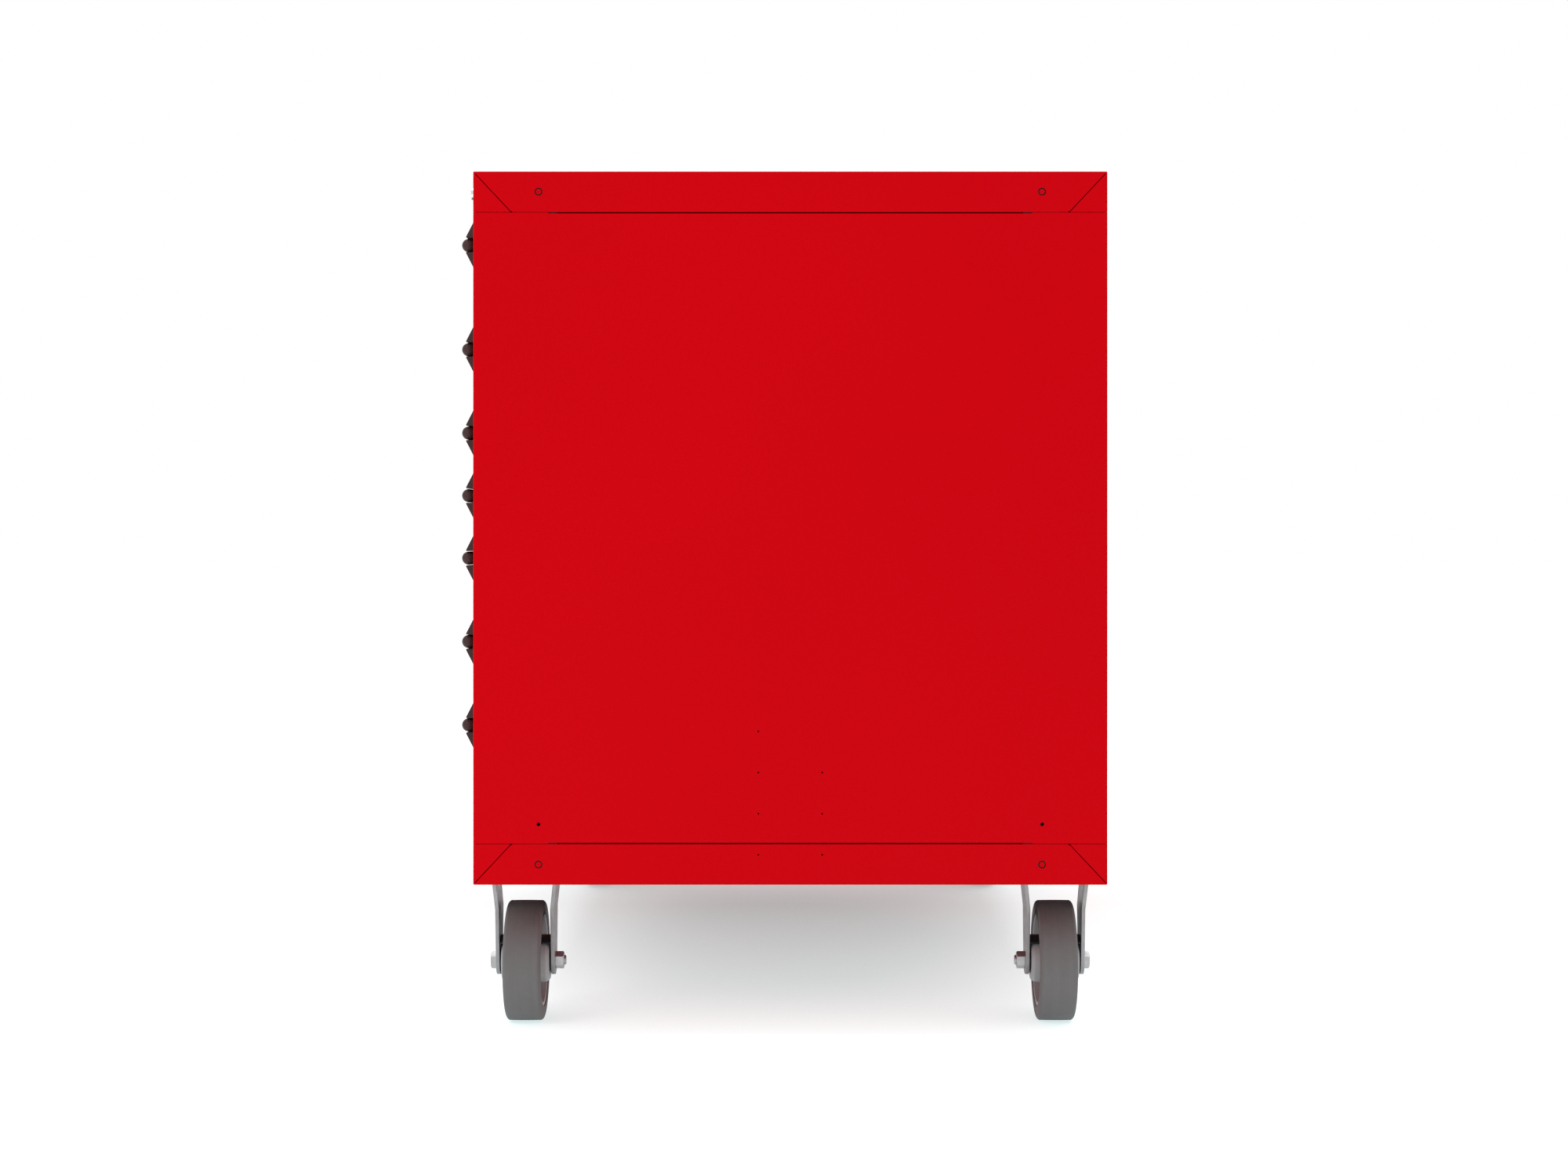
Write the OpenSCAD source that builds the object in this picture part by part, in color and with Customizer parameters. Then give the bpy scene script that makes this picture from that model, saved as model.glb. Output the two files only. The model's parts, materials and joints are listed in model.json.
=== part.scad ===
// Rolling tool chest: a steel drawer cabinet with a flat deck on four 6 inch casters.
// Millimetres. Z is up from the floor, drawers open toward -Y, and +X is the chest's right end.
// The origin is the middle of the whole chest's footprint, on the floor.

/* [Cabinet] */
// width of the cabinet, left to right
body_w = 1524; // [1000:2:1900]
// depth of the cabinet, front to back, without the handles
body_d = 765; // [600:1:920]
// height of the folded rail that each pan turns over the four sides
rail_h = 49; // [44:1:65]
// how far in from the vertical edge the mitre on the rail's end stops
mitre_in = 46; // [35:1:60]
// width of the columns that frame the drawer opening
column_w = 25; // [22:1:40]
// depth of the column's inward fold
column_d = 28; // [27:0.5:34]
// thickness of the two pans' steel
pan_t = 2; // [1.5:0.1:3]
// thickness of the side and rear panels' steel
sheet_t = 1.5; // [1:0.1:2]
// outside radius of the vertical bends
edge_r = 2.5; // [1.5:0.1:4]
// hairline between two panels
seam = 0.5; // [0.3:0.1:1]
// extra set-back of the side panel where no upright stands behind the seam
shadow_gap = 1.1; // [0.5:0.1:2]
// width of the slit along each mitre
mitre_gap = 0.9; // [0.4:0.1:1.5]
// round notch at the inner end of each mitre
notch_r = 1.4; // [1:0.1:2.5]
// depth of the stiffening lip behind the front rail
rail_lip_d = 14; // [8:0.5:17]
// width of a stiffener under the deck
stiffener_w = 60; // [40:1:90]
// height of a stiffener under the deck
stiffener_h = 24; // [16:0.5:30]
// thickness of the stiffeners' steel
stiffener_t = 1.5; // [1:0.1:2]
// width of the channel over each pair of casters
channel_w = 150; // [130:1:180]
// height of the channel over each pair of casters
channel_h = 30; // [20:0.5:40]
// thickness of the caster channels' steel
channel_t = 3; // [2:0.1:4]

/* [Uprights and fasteners] */
// distance of each upright's centre from the front and rear edges
upright_in = 79; // [65:1:110]
// width of an upright
upright_w = 45; // [35:1:55]
// thickness of an upright's steel
upright_t = 2; // [1.5:0.1:3]
// width of the lip on each edge of an upright
upright_lip = 14; // [8:0.5:16]
// diameter of the flush fastener's head
fastener_d = 6.5; // [5:0.1:8]
// diameter of the access hole around the head
access_d = 9.6; // [8:0.1:12]
// diameter of the open accessory hole above each lower rail fastener
accessory_d = 4.7; // [3:0.1:6]
// height of the accessory holes above the lower rail's seam
accessory_up = 24; // [15:1:40]
// number of rear fasteners up each edge
rear_up = 6; // [4:1:8]
// number of rear fasteners along each rail
rear_across = 5; // [3:2:7]
// diameter of the small pilot holes in the middle of the side
pilot_d = 2.2; // [1.5:0.1:3]
// height of the lowest pilot holes above the cabinet's bottom
pilot_first = 36.2; // [28:0.1:40]
// spacing of the pilot holes, upward
pilot_pitch = 49.6; // [40:0.1:60]
// spacing of the pilot holes, front to back
pilot_across = 77; // [60:1:100]

/* [Drawers] */
// height of one drawer unit
unit_h = 25.4; // [21:0.1:31]
// drawer heights in units, top to bottom
drawer_units = [5, 4, 3, 3, 4, 4, 7];
// gap between two drawer faces
face_gap = 3; // [2:0.1:5]
// gap between a drawer face and the column beside it
face_side_gap = 2; // [1.5:0.1:4]
// depth of the drawer face's folded edge
face_d = 18; // [12:1:20]
// thickness of the drawer's steel
wall_t = 1.3; // [1:0.1:2]
// gap between a drawer's back and the cabinet's rear
box_back_gap = 46; // [40:1:80]
// gap under a drawer's floor, down to the drawer below
box_under = 5; // [4:0.5:8]
// gap over a drawer's rim, up to the drawer above
box_over = 8; // [7:0.5:12]
// height of the drawer wall's rolled top edge
hem_h = 6; // [4:0.5:8]
// thickness of the drawer wall's rolled top edge
hem_t = 3; // [2:0.5:4]

/* [Drawer slides] */
// gap under a slide, down to the drawer below
slide_below = 5; // [4:0.5:8]
// gap between a slide and the lock's catch above it
catch_clear = 8.2; // [6:0.1:10]
// width of a slide, cabinet to drawer
slide_w = 19.5; // [18:0.1:24]
// thickness of the slide's steel
slide_t = 1.8; // [1.5:0.1:2]
// running clearance between two nested slide members
slide_play = 0.5; // [0.3:0.1:0.8]
// how far one member's lip reaches over the next
slide_lip = 2; // [1.5:0.1:2.5]
// how much wider the slide is than its outer channel
slide_step = 4.5; // [4:0.1:6]
// gap between the column's fold and the slides
slide_front_gap = 4; // [3:0.5:8]
// gap between the slides and the cabinet's rear
slide_back_gap = 33; // [25:1:60]

/* [Handles] */
// bare strip of drawer face above the handle
handle_top_edge = 1.8; // [1:0.1:4]
// bare strip below the handle on the lowest drawer face
handle_bottom_edge = 5; // [2:0.1:8]
// how far the wings stand off the drawer face
wing_out = 12.5; // [8:0.1:16]
// half the opening between the two wings
wing_gap = 8.7; // [6:0.1:12]
// diameter of the round bar
bar_d = 16.2; // [10:0.1:17]
// how far the bar's centre stands off the drawer face
bar_out = 9.4; // [6:0.1:12]
// wall thickness of the handle
handle_t = 2; // [1.5:0.1:3]
// thickness of the handle's closed ends
handle_end_t = 3; // [2:0.5:6]

/* [Lock] */
// distance of the lock from the cabinet's right side
lock_in = 62; // [50:1:90]
// how far the lock's axis is above the middle of the rail
lock_up = 5; // [0:0.5:5]
// diameter of the lock's body
lock_d = 19; // [16:0.5:22]
// diameter of the turning barrel
barrel_d = 12.8; // [10:0.1:15]
// how far the barrel stands off the rail
lock_out = 9.5; // [6:0.5:11]
// thickness of the flange of the lock's body
flange_t = 4; // [3:0.5:5]
// how far the flange stands out past the lock's body
flange_out = 2.5; // [1.5:0.5:4]
// thickness of the nut behind the rail
lock_nut_t = 4; // [3:0.5:6]
// distance of the cam pin from the barrel's axis
cam_r = 7; // [5:0.5:8]
// radius of the cam pin
pin_r = 2.5; // [2:0.1:3]
// width of the lock bar
lock_bar_w = 16; // [12:0.5:16]
// thickness of the lock bar
lock_bar_t = 3; // [2:0.1:3]
// height of a drawer's catch and of the lock bar's tab
catch_h = 8; // [6:0.5:8]
// from the drawer's top down to the catch's lower edge
catch_down = 18; // [17:0.5:19]
// thickness of the catch
catch_t = 3; // [2:0.5:4]
// how far the catch stands out from the drawer's side
catch_out = 11.5; // [9:0.5:12]

/* [Casters] */
// diameter of the wheels
wheel_d = 150; // [125:1:180]
// width of the wheel's tread
wheel_w = 46; // [38:1:52]
// depth of the tyre's tread
tyre_t = 17; // [12:1:22]
// radius of the tyre's shoulder
shoulder_r = 5; // [3:0.5:8]
// radius of the wheel's hub
hub_r = 27; // [24:1:30]
// radius of the hub's tapered end
hub_end_r = 24; // [14:1:24]
// how far the hub's taper reaches in from its end
hub_taper = 4; // [2:0.5:12]
// outside radius of the thread guard over the hub
guard_r = 32; // [28:1:36]
// half the angle that the thread guard covers, about the top
guard_half_angle = 40; // [25:1:60]
// diameter of the axle bolt
axle_d = 12; // [10:0.5:13]
// width across the axle bolt's head and nut
axle_flats = 19; // [17:0.5:22]
// thickness of the axle bolt's head
axle_head_t = 7.5; // [6:0.5:9]
// thickness of the axle bolt's nut
axle_nut_t = 10.6; // [8:0.2:12]
// space between the fork's legs
fork_gap = 64; // [58:1:70]
// thickness of the fork's legs
leg_t = 5; // [4:0.5:6]
// radius of the leg's rounded foot
foot_r = 18; // [16:1:26]
// half the width of a rigid leg where it meets the plate
leg_top = 31; // [26:1:31]
// outward lean of the leg's top
leg_lean = 3.5; // [0:0.5:4]
// length of the caster's top plate
plate_l = 114; // [105:1:120]
// width of the caster's top plate
plate_w = 95; // [88:1:98]
// thickness of the caster's top plate
plate_t = 6; // [4:0.5:8]
// bolt spacing along the plate
bolt_l = 86; // [84:1:96]
// bolt spacing across the plate
bolt_w = 76; // [70:1:78]
// diameter of the plate bolts
bolt_d = 10; // [8:0.5:10]
// width across the plate bolt's head and nut
bolt_flats = 16; // [13:0.5:16]
// thickness of the plate bolt's head
bolt_head_t = 6.4; // [5:0.1:6.6]
// thickness of the plate bolt's nut
bolt_nut_t = 8; // [6:0.5:9]
// thickness of the swivel fork's crown
crown_t = 6; // [5:0.5:7]
// radius of the swivel fork's crown
crown_r = 38; // [34:1:40]
// radius of the swivel's king pin
king_r = 8; // [6:0.5:9]
// radius of the king pin's lower head
king_head_r = 13; // [11:0.5:14]
// thickness of the king pin's lower head
king_head_t = 6; // [4:0.5:7]
// from the wheel's top to the top plate
wheel_over = 34; // [32:1:45]
// distance of the caster's centre from the cabinet's ends
caster_in_x = 150; // [120:1:220]
// distance of the caster's centre from the cabinet's front and rear
caster_in_y = 49.5; // [49:0.5:70]
// how far a swivel caster's axle trails behind its king pin
trail = 40; // [30:1:45]
// thickness of the brake pedal
pedal_t = 3; // [2:0.5:4]
// width of the brake pedal
pedal_w = 50; // [40:1:56]
// how far the brake pedal's tip stands out from the axle
pedal_out = 95; // [88:1:102]
// how far the brake pedal's tip stands below the wheel's top
pedal_drop = 22; // [16:1:26]

/* [Hidden] */
$fn = 48;
fit = 0.3;
running_fit = 0.05;
eps = 0.01;
past = 1;

panel_red = [0.80, 0.04, 0.08];
handle_brown = [0.23, 0.20, 0.20];
zinc = [0.62, 0.62, 0.64];
chrome = [0.80, 0.80, 0.82];
core_grey = [0.52, 0.52, 0.53];
tyre_grey = [0.40, 0.40, 0.41];
guard_black = [0.10, 0.10, 0.10];

function sum_to(list, n) = n == 0 ? 0 : list[n - 1] + sum_to(list, n - 1);

drawers = len(drawer_units);
opening_h = unit_h * sum_to(drawer_units, drawers);
body_h = opening_h + 2 * rail_h;
z_base = wheel_d + wheel_over + plate_t;
z_top = z_base + body_h;
z_open = z_base + rail_h;
z_open_top = z_top - rail_h;
handle_out = bar_out + bar_d / 2;
y_mid = handle_out / 2;
y_front = y_mid - body_d / 2;
y_back = y_mid + body_d / 2;
half_w = body_w / 2;
panel_lo = z_open + seam;
panel_hi = z_open_top - seam;
slit_start = 1.5;
shadow_stop = 11.5;
column_lip = 10;
rail_lip_gap = 3;
rear_play = 1;
stiffener_back_gap = 12;
stiffeners = 3;
pilot_rows = 3;
screw_reach = 5;

// drawer modules, numbered 0 at the top
function module_top(i) = z_open_top - unit_h * sum_to(drawer_units, i);
function module_bottom(i) = module_top(i) - unit_h * drawer_units[i];
smallest = unit_h * min(drawer_units);

// the opening, the slides and the drawer box, measured from the middle
opening_half = half_w - column_w;
face_half = opening_half - face_side_gap;
slide_gap = 1;
slide_x = opening_half - slide_gap;
box_half = slide_x - slide_w;
slide_half_h = (smallest - slide_below - catch_clear - catch_down) / 2;
slide_up = slide_below + slide_half_h;
slide_y = y_front + column_d + slide_front_gap;
slide_len = y_back - slide_back_gap - slide_y;
middle_half_h = slide_half_h - slide_t - slide_play;
foot_half_h = middle_half_h - slide_t - slide_play;
inner_half_h = foot_half_h - slide_lip;
foot_play = 1;
middle_in = 1;
middle_short = 4;
inner_in = 2;
inner_short = 12;
box_back = y_back - box_back_gap;
handle_half = (smallest - face_gap - handle_top_edge - handle_bottom_edge) / 2;
handle_down = face_gap / 2 + handle_top_edge + handle_half;

// lock parts that reach each drawer, from the front back: cam, tab, catch
tab_gap = 4;
catch_gap = 1.5;
tab_y = y_front + face_d + tab_gap;
catch_y = tab_y + lock_bar_t + catch_gap;
cam_turn = 45;
lock_lift = 2 * cam_r * sin(cam_turn);
lock_x = half_w - lock_in;
lock_z = z_top - rail_h / 2 + lock_up;
cam_t = 3;
cam_gap = 2;
cam_rim = 3;
pin_tail = 2;
pin_play = 0.4;
slot_play = 0.8;
tab_play = 1;
tab_in = 5.5;
bar_gap = 2.5;
bar_x = opening_half + sheet_t + bar_gap;
bar_foot = 8;
arm_half = 8;
arm_in = 6;
cam_y = tab_y - cam_t - cam_gap;
lock_nut_flats = lock_d + 6;
barrel_rim = 1.3;
key_slot_half_w = 0.8;
key_slot_half_h = 4;
key_slot_d = 5;

// casters: the rigid pair at the right end, the swivel pair at the left
caster_x = half_w - caster_in_x;
caster_ys = [y_front + caster_in_y, y_back - caster_in_y];
z_plate = z_base - plate_t;
axle_z = wheel_d / 2;
leg_out = fork_gap / 2 + leg_t;
channel_play = 1;
race_t = 8;
race_in = 4;
crown_top = z_plate - race_t;
hub_play = 2;
hub_half = fork_gap / 2 - hub_play;
rim_r = wheel_d / 2 - tyre_t;
bend_drop = 42;
shoulder_drop = 8;
leg_in = 2;
leg_reach = 60;
pivot_r = 4;
pivot_back = 22;
pivot_up = 7;
pivot_collar = 2;
pivot_tail = 2;
pivot = [-trail - pivot_back, wheel_d + pivot_up];
pedal_tip = [-trail - pedal_out, wheel_d - pedal_drop];

// ---------- helpers ----------

// a block between two opposite corners
module block(a, b) {
    translate(a) cube(b - a);
}

// a front-back and up outline, carried along X from x0
module across(x0, length) {
    translate([x0, 0, 0]) rotate([90, 0, 90]) linear_extrude(length) children();
}

// a sideways and up outline, carried along Y from y0
module along(y0, length) {
    translate([0, y0 + length, 0]) rotate([90, 0, 0]) linear_extrude(length) children();
}

module both_sides() {
    children();
    mirror([1, 0, 0]) children();
}

// a round rod along Y from y0
module rod(x, y0, z, r, length) {
    translate([x, y0, z]) rotate([-90, 0, 0]) cylinder(r = r, h = length);
}

// a hexagon along Y from y0, with a corner at its top
module hex_rod(x, y0, z, flats, length) {
    translate([x, y0, z]) rotate([-90, 30, 0]) cylinder(d = flats / cos(30), h = length, $fn = 6);
}

// the cabinet's outline seen from above, with rounded vertical edges
module footprint(r) {
    translate([-half_w + r, y_front]) square([body_w - 2 * r, body_d]);
    translate([-half_w, y_front + r]) square([body_w, body_d - 2 * r]);
    for (x = [-half_w + r, half_w - r])
        for (y = [y_front + r, y_back - r])
            translate([x, y]) circle(r);
}

module within_footprint() {
    intersection() {
        children();
        linear_extrude(z_top + past) footprint(edge_r);
    }
}

// places of the rail fasteners on one side: [y, z]
upright_ys = [y_front + upright_in, y_back - upright_in];
rail_zs = [z_base + rail_h / 2, z_top - rail_h / 2];
rear_columns = [for (k = [1 : rear_up]) z_open + opening_h * (k - 0.5) / rear_up];
rear_half = (rear_across - 1) / 2;
rear_rows = [for (k = [-rear_half : rear_half]) k * body_w / (rear_across + 0.5)];
rear_inset = column_w / 2;

// a hole along X through the right side's sheet
module side_hole(y, z, d) {
    reach = 2 * pan_t;
    translate([half_w - reach, y, z]) rotate([0, 90, 0]) cylinder(d = d, h = reach + past);
}

// a hole along Y through the rear's sheet
module rear_hole(x, z, d) {
    rod(x, y_back - pan_t - eps, z, d / 2, pan_t + past);
}

module rear_holes(d) {
    for (x = [-half_w + rear_inset, half_w - rear_inset])
        for (z = rear_columns)
            rear_hole(x, z, d);
    for (x = rear_rows)
        for (z = rail_zs)
            rear_hole(x, z, d);
}

// the pilot holes in the middle of the right side
module pilot_holes() {
    first = z_base + pilot_first;
    for (row = [0 : pilot_rows - 1])
        for (s = [-0.5, 0.5])
            side_hole(y_mid + s * pilot_across, first + row * pilot_pitch, pilot_d);
    side_hole(y_mid - 0.5 * pilot_across, first + pilot_rows * pilot_pitch, pilot_d);
}

// ---------- cabinet ----------

// the four folded rails of a pan, standing up from z = 0 with their outer edge at the bottom
module folded_rails() {
    across(half_w - pan_t, pan_t) side_rail();
    across(-half_w, pan_t) side_rail();
    block([-half_w, y_front, 0], [half_w, y_front + pan_t, rail_h]);
    block([-half_w, y_back - pan_t, 0], [half_w, y_back, rail_h]);
    // stiffening lip behind the front rail
    lip_half = opening_half - rail_lip_gap;
    block([-lip_half, y_front, rail_h - pan_t], [lip_half, y_front + rail_lip_d, rail_h]);
}

// the side's rail, slit along the mitre where the front and rear rails' ends fold round to meet it
module side_rail() {
    slit = norm([mitre_in, rail_h]);
    tilt = atan2(rail_h, mitre_in);
    difference() {
        translate([y_front, 0]) square([body_d, rail_h]);
        for (side = [0, 1])
            translate([side * 2 * y_mid, 0]) mirror([side, 0]) {
                translate([y_front, 0]) rotate(tilt)
                    translate([slit_start, -mitre_gap / 2]) square([slit, mitre_gap]);
                translate([y_front + mitre_in, rail_h]) circle(notch_r);
            }
    }
}

module caster_bolt_places() {
    for (x = [-caster_x, caster_x])
        for (y = caster_ys)
            for (a = [-bolt_l / 2, bolt_l / 2])
                for (b = [-bolt_w / 2, bolt_w / 2])
                    translate([x + a, y + b, 0]) children();
}

module base_pan() {
    color(panel_red)
    within_footprint()
    difference() {
        union() {
            translate([0, 0, z_base]) folded_rails();
            block([-half_w, y_front, z_base], [half_w, y_back, z_base + pan_t]);
        }
        both_sides()
            for (y = upright_ys)
                side_hole(y, rail_zs[0], access_d);
        both_sides() pilot_holes();
        rear_holes(fastener_d + fit);
        caster_bolt_places() translate([0, 0, z_base - past]) cylinder(d = bolt_d + fit, h = pan_t + 2 * past);
    }
}

module top_pan() {
    color(panel_red)
    within_footprint()
    difference() {
        union() {
            translate([0, 0, z_top]) mirror([0, 0, 1]) folded_rails();
            block([-half_w, y_front, z_top - pan_t], [half_w, y_back, z_top]);
        }
        both_sides()
            for (y = upright_ys)
                side_hole(y, rail_zs[1], access_d);
        rear_holes(fastener_d + fit);
        rod(lock_x, y_front - past, lock_z, (lock_d + fit) / 2, pan_t + 2 * past);
    }
}

// the side seen from the right: it fills the height between the rails' hairlines, and is set back
// a little more where no upright stands behind the seam
module side_outline() {
    wide = body_d - 2 * (upright_in + shadow_stop);
    difference() {
        translate([y_front, panel_lo]) square([body_d, panel_hi - panel_lo]);
        translate([y_mid - wide / 2, panel_lo - past]) square([wide, past + shadow_gap]);
        translate([y_mid - wide / 2, panel_hi - shadow_gap]) square([wide, past + shadow_gap]);
    }
}

module right_panel() {
    within_footprint()
    difference() {
        union() {
            across(half_w - sheet_t, sheet_t) side_outline();
            block([opening_half, y_front, panel_lo], [half_w, y_front + sheet_t, panel_hi]);
            block([opening_half, y_back - sheet_t, panel_lo], [half_w, y_back, panel_hi]);
            // the column's fold and its closing lip, which keep the lock bar in place
            block([opening_half, y_front, panel_lo],
                  [opening_half + sheet_t, y_front + column_d, panel_hi]);
            block([opening_half, y_front + column_d - sheet_t, panel_lo],
                  [opening_half + column_lip, y_front + column_d, panel_hi]);
        }
        for (y = upright_ys)
            side_hole(y, z_open + accessory_up, accessory_d);
        pilot_holes();
        rear_holes(fastener_d + fit);
        // slots that the lock bar's tabs stand in
        for (i = [0 : drawers - 1])
            block([opening_half - past, tab_y - tab_play, module_top(i) - catch_down - tab_play],
                  [opening_half + sheet_t + eps, tab_y + lock_bar_t + tab_play,
                   module_top(i) - catch_down + catch_h + lock_lift + tab_play]);
    }
}

module side_panel_right() {
    color(panel_red) right_panel();
}

module side_panel_left() {
    color(panel_red) mirror([1, 0, 0]) right_panel();
}

module rear_panel() {
    inside_w = half_w - pan_t - rear_play;
    color(panel_red)
    difference() {
        block([-inside_w, y_back - pan_t - sheet_t, z_base + pan_t + rear_play],
              [inside_w, y_back - pan_t, z_top - pan_t - rear_play]);
        for (x = [-half_w + rear_inset, half_w - rear_inset])
            for (z = rear_columns)
                rod(x, y_back - screw_reach, z, fastener_d / 4, screw_reach);
        for (x = rear_rows)
            for (z = rail_zs)
                rod(x, y_back - screw_reach, z, fastener_d / 4, screw_reach);
    }
}

// a lipped channel seen from above, its back against the side panel
module upright_outline() {
    back = half_w - pan_t;
    deep = back - slide_x;
    translate([back - upright_t, -upright_w / 2]) square([upright_t, upright_w]);
    for (s = [0, 1])
        mirror([0, s]) {
            translate([slide_x, upright_w / 2 - upright_t]) square([deep, upright_t]);
            translate([slide_x, upright_w / 2 - upright_lip]) square([upright_t, upright_lip]);
        }
}

module slide_uprights() {
    reach = screw_reach + upright_t + past;
    deep = reach - past;
    color(guard_black)
    both_sides()
    difference() {
        for (y = upright_ys)
            translate([0, y, z_base + pan_t]) linear_extrude(body_h - 2 * pan_t) upright_outline();
        for (y = upright_ys) {
            for (z = rail_zs)
                translate([half_w - reach, y, z]) rotate([0, 90, 0]) cylinder(d = fastener_d / 2, h = deep);
            translate([half_w - reach, y, z_open + accessory_up])
                rotate([0, 90, 0]) cylinder(d = accessory_d, h = deep);
        }
    }
}

// a flush head and its shank, the head's face at the origin and pointing along +Z
module flush_fastener(head_t) {
    translate([0, 0, -head_t]) cylinder(d = fastener_d, h = head_t);
    translate([0, 0, -head_t - screw_reach]) cylinder(d = fastener_d / 2, h = screw_reach + eps);
}

module panel_fasteners() {
    color(panel_red) {
        both_sides()
            for (y = upright_ys)
                for (z = rail_zs)
                    translate([half_w, y, z]) rotate([0, 90, 0]) flush_fastener(pan_t);
        for (x = [-half_w + rear_inset, half_w - rear_inset])
            for (z = rear_columns)
                translate([x, y_back, z]) rotate([-90, 0, 0]) flush_fastener(pan_t);
        for (x = rear_rows)
            for (z = rail_zs)
                translate([x, y_back, z]) rotate([-90, 0, 0]) flush_fastener(pan_t);
    }
}

module deck_stiffeners() {
    t = stiffener_t;
    pitch = body_w / (stiffeners + 1);
    color(panel_red)
    for (k = [1 : stiffeners])
        along(y_front + column_d, body_d - column_d - stiffener_back_gap)
            translate([k * pitch - half_w, z_top - pan_t]) difference() {
                translate([-stiffener_w / 2, -stiffener_h]) square([stiffener_w, stiffener_h]);
                translate([-stiffener_w / 2 + t, -stiffener_h + t]) square([stiffener_w - 2 * t, stiffener_h]);
            }
}

module caster_channels() {
    t = channel_t;
    length = body_d - 2 * pan_t - sheet_t - 2 * channel_play;
    color(panel_red)
    difference() {
        for (x = [-caster_x, caster_x])
            along(y_front + pan_t + channel_play, length)
                translate([x, z_base + pan_t]) difference() {
                    translate([-channel_w / 2, 0]) square([channel_w, channel_h]);
                    translate([-channel_w / 2 + t, t]) square([channel_w - 2 * t, channel_h]);
                }
        caster_bolt_places() translate([0, 0, z_base]) cylinder(d = bolt_d + fit, h = pan_t + t + past);
    }
}

// ---------- drawers ----------

module drawer_box(i) {
    top = module_top(i);
    bottom = module_bottom(i);
    face_lo = bottom + face_gap / 2;
    face_hi = top - face_gap / 2;
    floor_z = bottom + box_under;
    rim_z = top - box_over;
    t = wall_t;
    color(panel_red) {
        // face: a shallow pan with its edges folded back
        difference() {
            block([-face_half, y_front, face_lo], [face_half, y_front + face_d, face_hi]);
            block([-face_half + t, y_front + t, face_lo + t],
                  [face_half - t, y_front + face_d + past, face_hi - t]);
        }
        // tray
        difference() {
            block([-box_half, y_front + t - eps, floor_z], [box_half, box_back, rim_z]);
            block([-box_half + t, y_front, floor_z + t], [box_half - t, box_back - t, rim_z + past]);
        }
        // rolled top edges of the two sides and the back
        both_sides()
            block([box_half - hem_t, y_front + t - eps, rim_z - hem_h], [box_half, box_back, rim_z]);
        block([-box_half, box_back - hem_t, rim_z - hem_h], [box_half, box_back, rim_z]);
        // catch for the lock bar
        block([box_half - t, catch_y, top - catch_down],
              [box_half + catch_out, catch_y + catch_t, top - catch_down + catch_h]);
    }
}

// the handle's outline without its hollows, drawn with the drawer face at y_front
module handle_solid_outline() {
    translate([y_front, 0]) {
        for (s = [0, 1])
            mirror([0, s]) polygon([[0, 0], [-handle_t, 0], [-handle_t, wing_gap],
                                    [-wing_out, wing_gap], [0, handle_half]]);
        translate([-bar_out, 0]) circle(bar_d / 2);
    }
}

// the closed hollow inside each wing
module handle_hollows() {
    lean = wing_out / (handle_half - wing_gap);
    wall = handle_t * sqrt(1 + lean * lean);
    low = wing_gap + handle_t;
    translate([y_front, 0])
        for (s = [0, 1])
            mirror([0, s]) polygon([
                [-handle_t, low], [-(lean * (handle_half - low) - wall), low],
                [-handle_t, handle_half - (handle_t + wall) / lean]
            ]);
}

module drawer_handle(i) {
    out = y_front - handle_out - past;
    high = handle_half + past;
    color(handle_brown)
    translate([0, 0, module_top(i) - handle_down])
    difference() {
        union() {
            intersection() {
                across(-face_half, 2 * face_half) handle_solid_outline();
                union() {
                    block([-face_half + bar_d / 2, out, -high], [face_half - bar_d / 2, y_front, high]);
                    // the bar's ends stop short, for the domes
                    for (s = [-1, 1])
                        difference() {
                            block([-face_half, out, -high], [face_half, y_front, high]);
                            block([-face_half - past, out, -wing_gap],
                                  [face_half + past, y_front - handle_t, wing_gap]);
                        }
                }
            }
            both_sides()
                translate([face_half - bar_d / 2, y_front - bar_out, 0]) sphere(d = bar_d);
        }
        across(-face_half + handle_end_t, 2 * (face_half - handle_end_t)) handle_hollows();
    }
}

// a slide member seen from the front, u = 0 at the upright and growing toward the drawer
module slide_channel(u0, u1, half_h) {
    translate([u0, -half_h]) square([slide_t, 2 * half_h]);
    for (s = [0, 1])
        mirror([0, s]) {
            translate([u0, half_h - slide_t]) square([u1 - u0, slide_t]);
            translate([u1 - slide_t, half_h - slide_t - slide_lip]) square([slide_t, slide_t + slide_lip]);
        }
}

// the smallest member, open toward the cabinet, with feet that the middle member's lips hold
module slide_inner_outline() {
    u0 = 2 * slide_t + 2 * slide_play + foot_play;
    translate([slide_w - slide_t, -inner_half_h]) square([slide_t, 2 * inner_half_h]);
    for (s = [0, 1])
        mirror([0, s]) {
            translate([u0, inner_half_h - slide_t]) square([slide_w - u0, slide_t]);
            translate([u0, inner_half_h - slide_t]) square([slide_t, foot_half_h - inner_half_h + slide_t]);
        }
}

// carries a slide outline back from the drawer's front, at both sides
module slide_pair(i, start, length) {
    both_sides()
        along(slide_y + start, length)
            translate([slide_x, module_bottom(i) + slide_up]) mirror([1, 0]) children();
}

module cabinet_slides() {
    color(zinc)
    for (i = [0 : drawers - 1])
        slide_pair(i, 0, slide_len) slide_channel(0, slide_w - slide_step, slide_half_h);
}

module drawer_middle_slides(i) {
    color(zinc)
    slide_pair(i, middle_in, slide_len - middle_short)
        slide_channel(slide_t + slide_play, slide_w - slide_step - slide_t - fit, middle_half_h);
}

module drawer_inner_slides(i) {
    color(zinc)
    slide_pair(i, inner_in, slide_len - inner_short) slide_inner_outline();
}

// ---------- lock ----------

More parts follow.
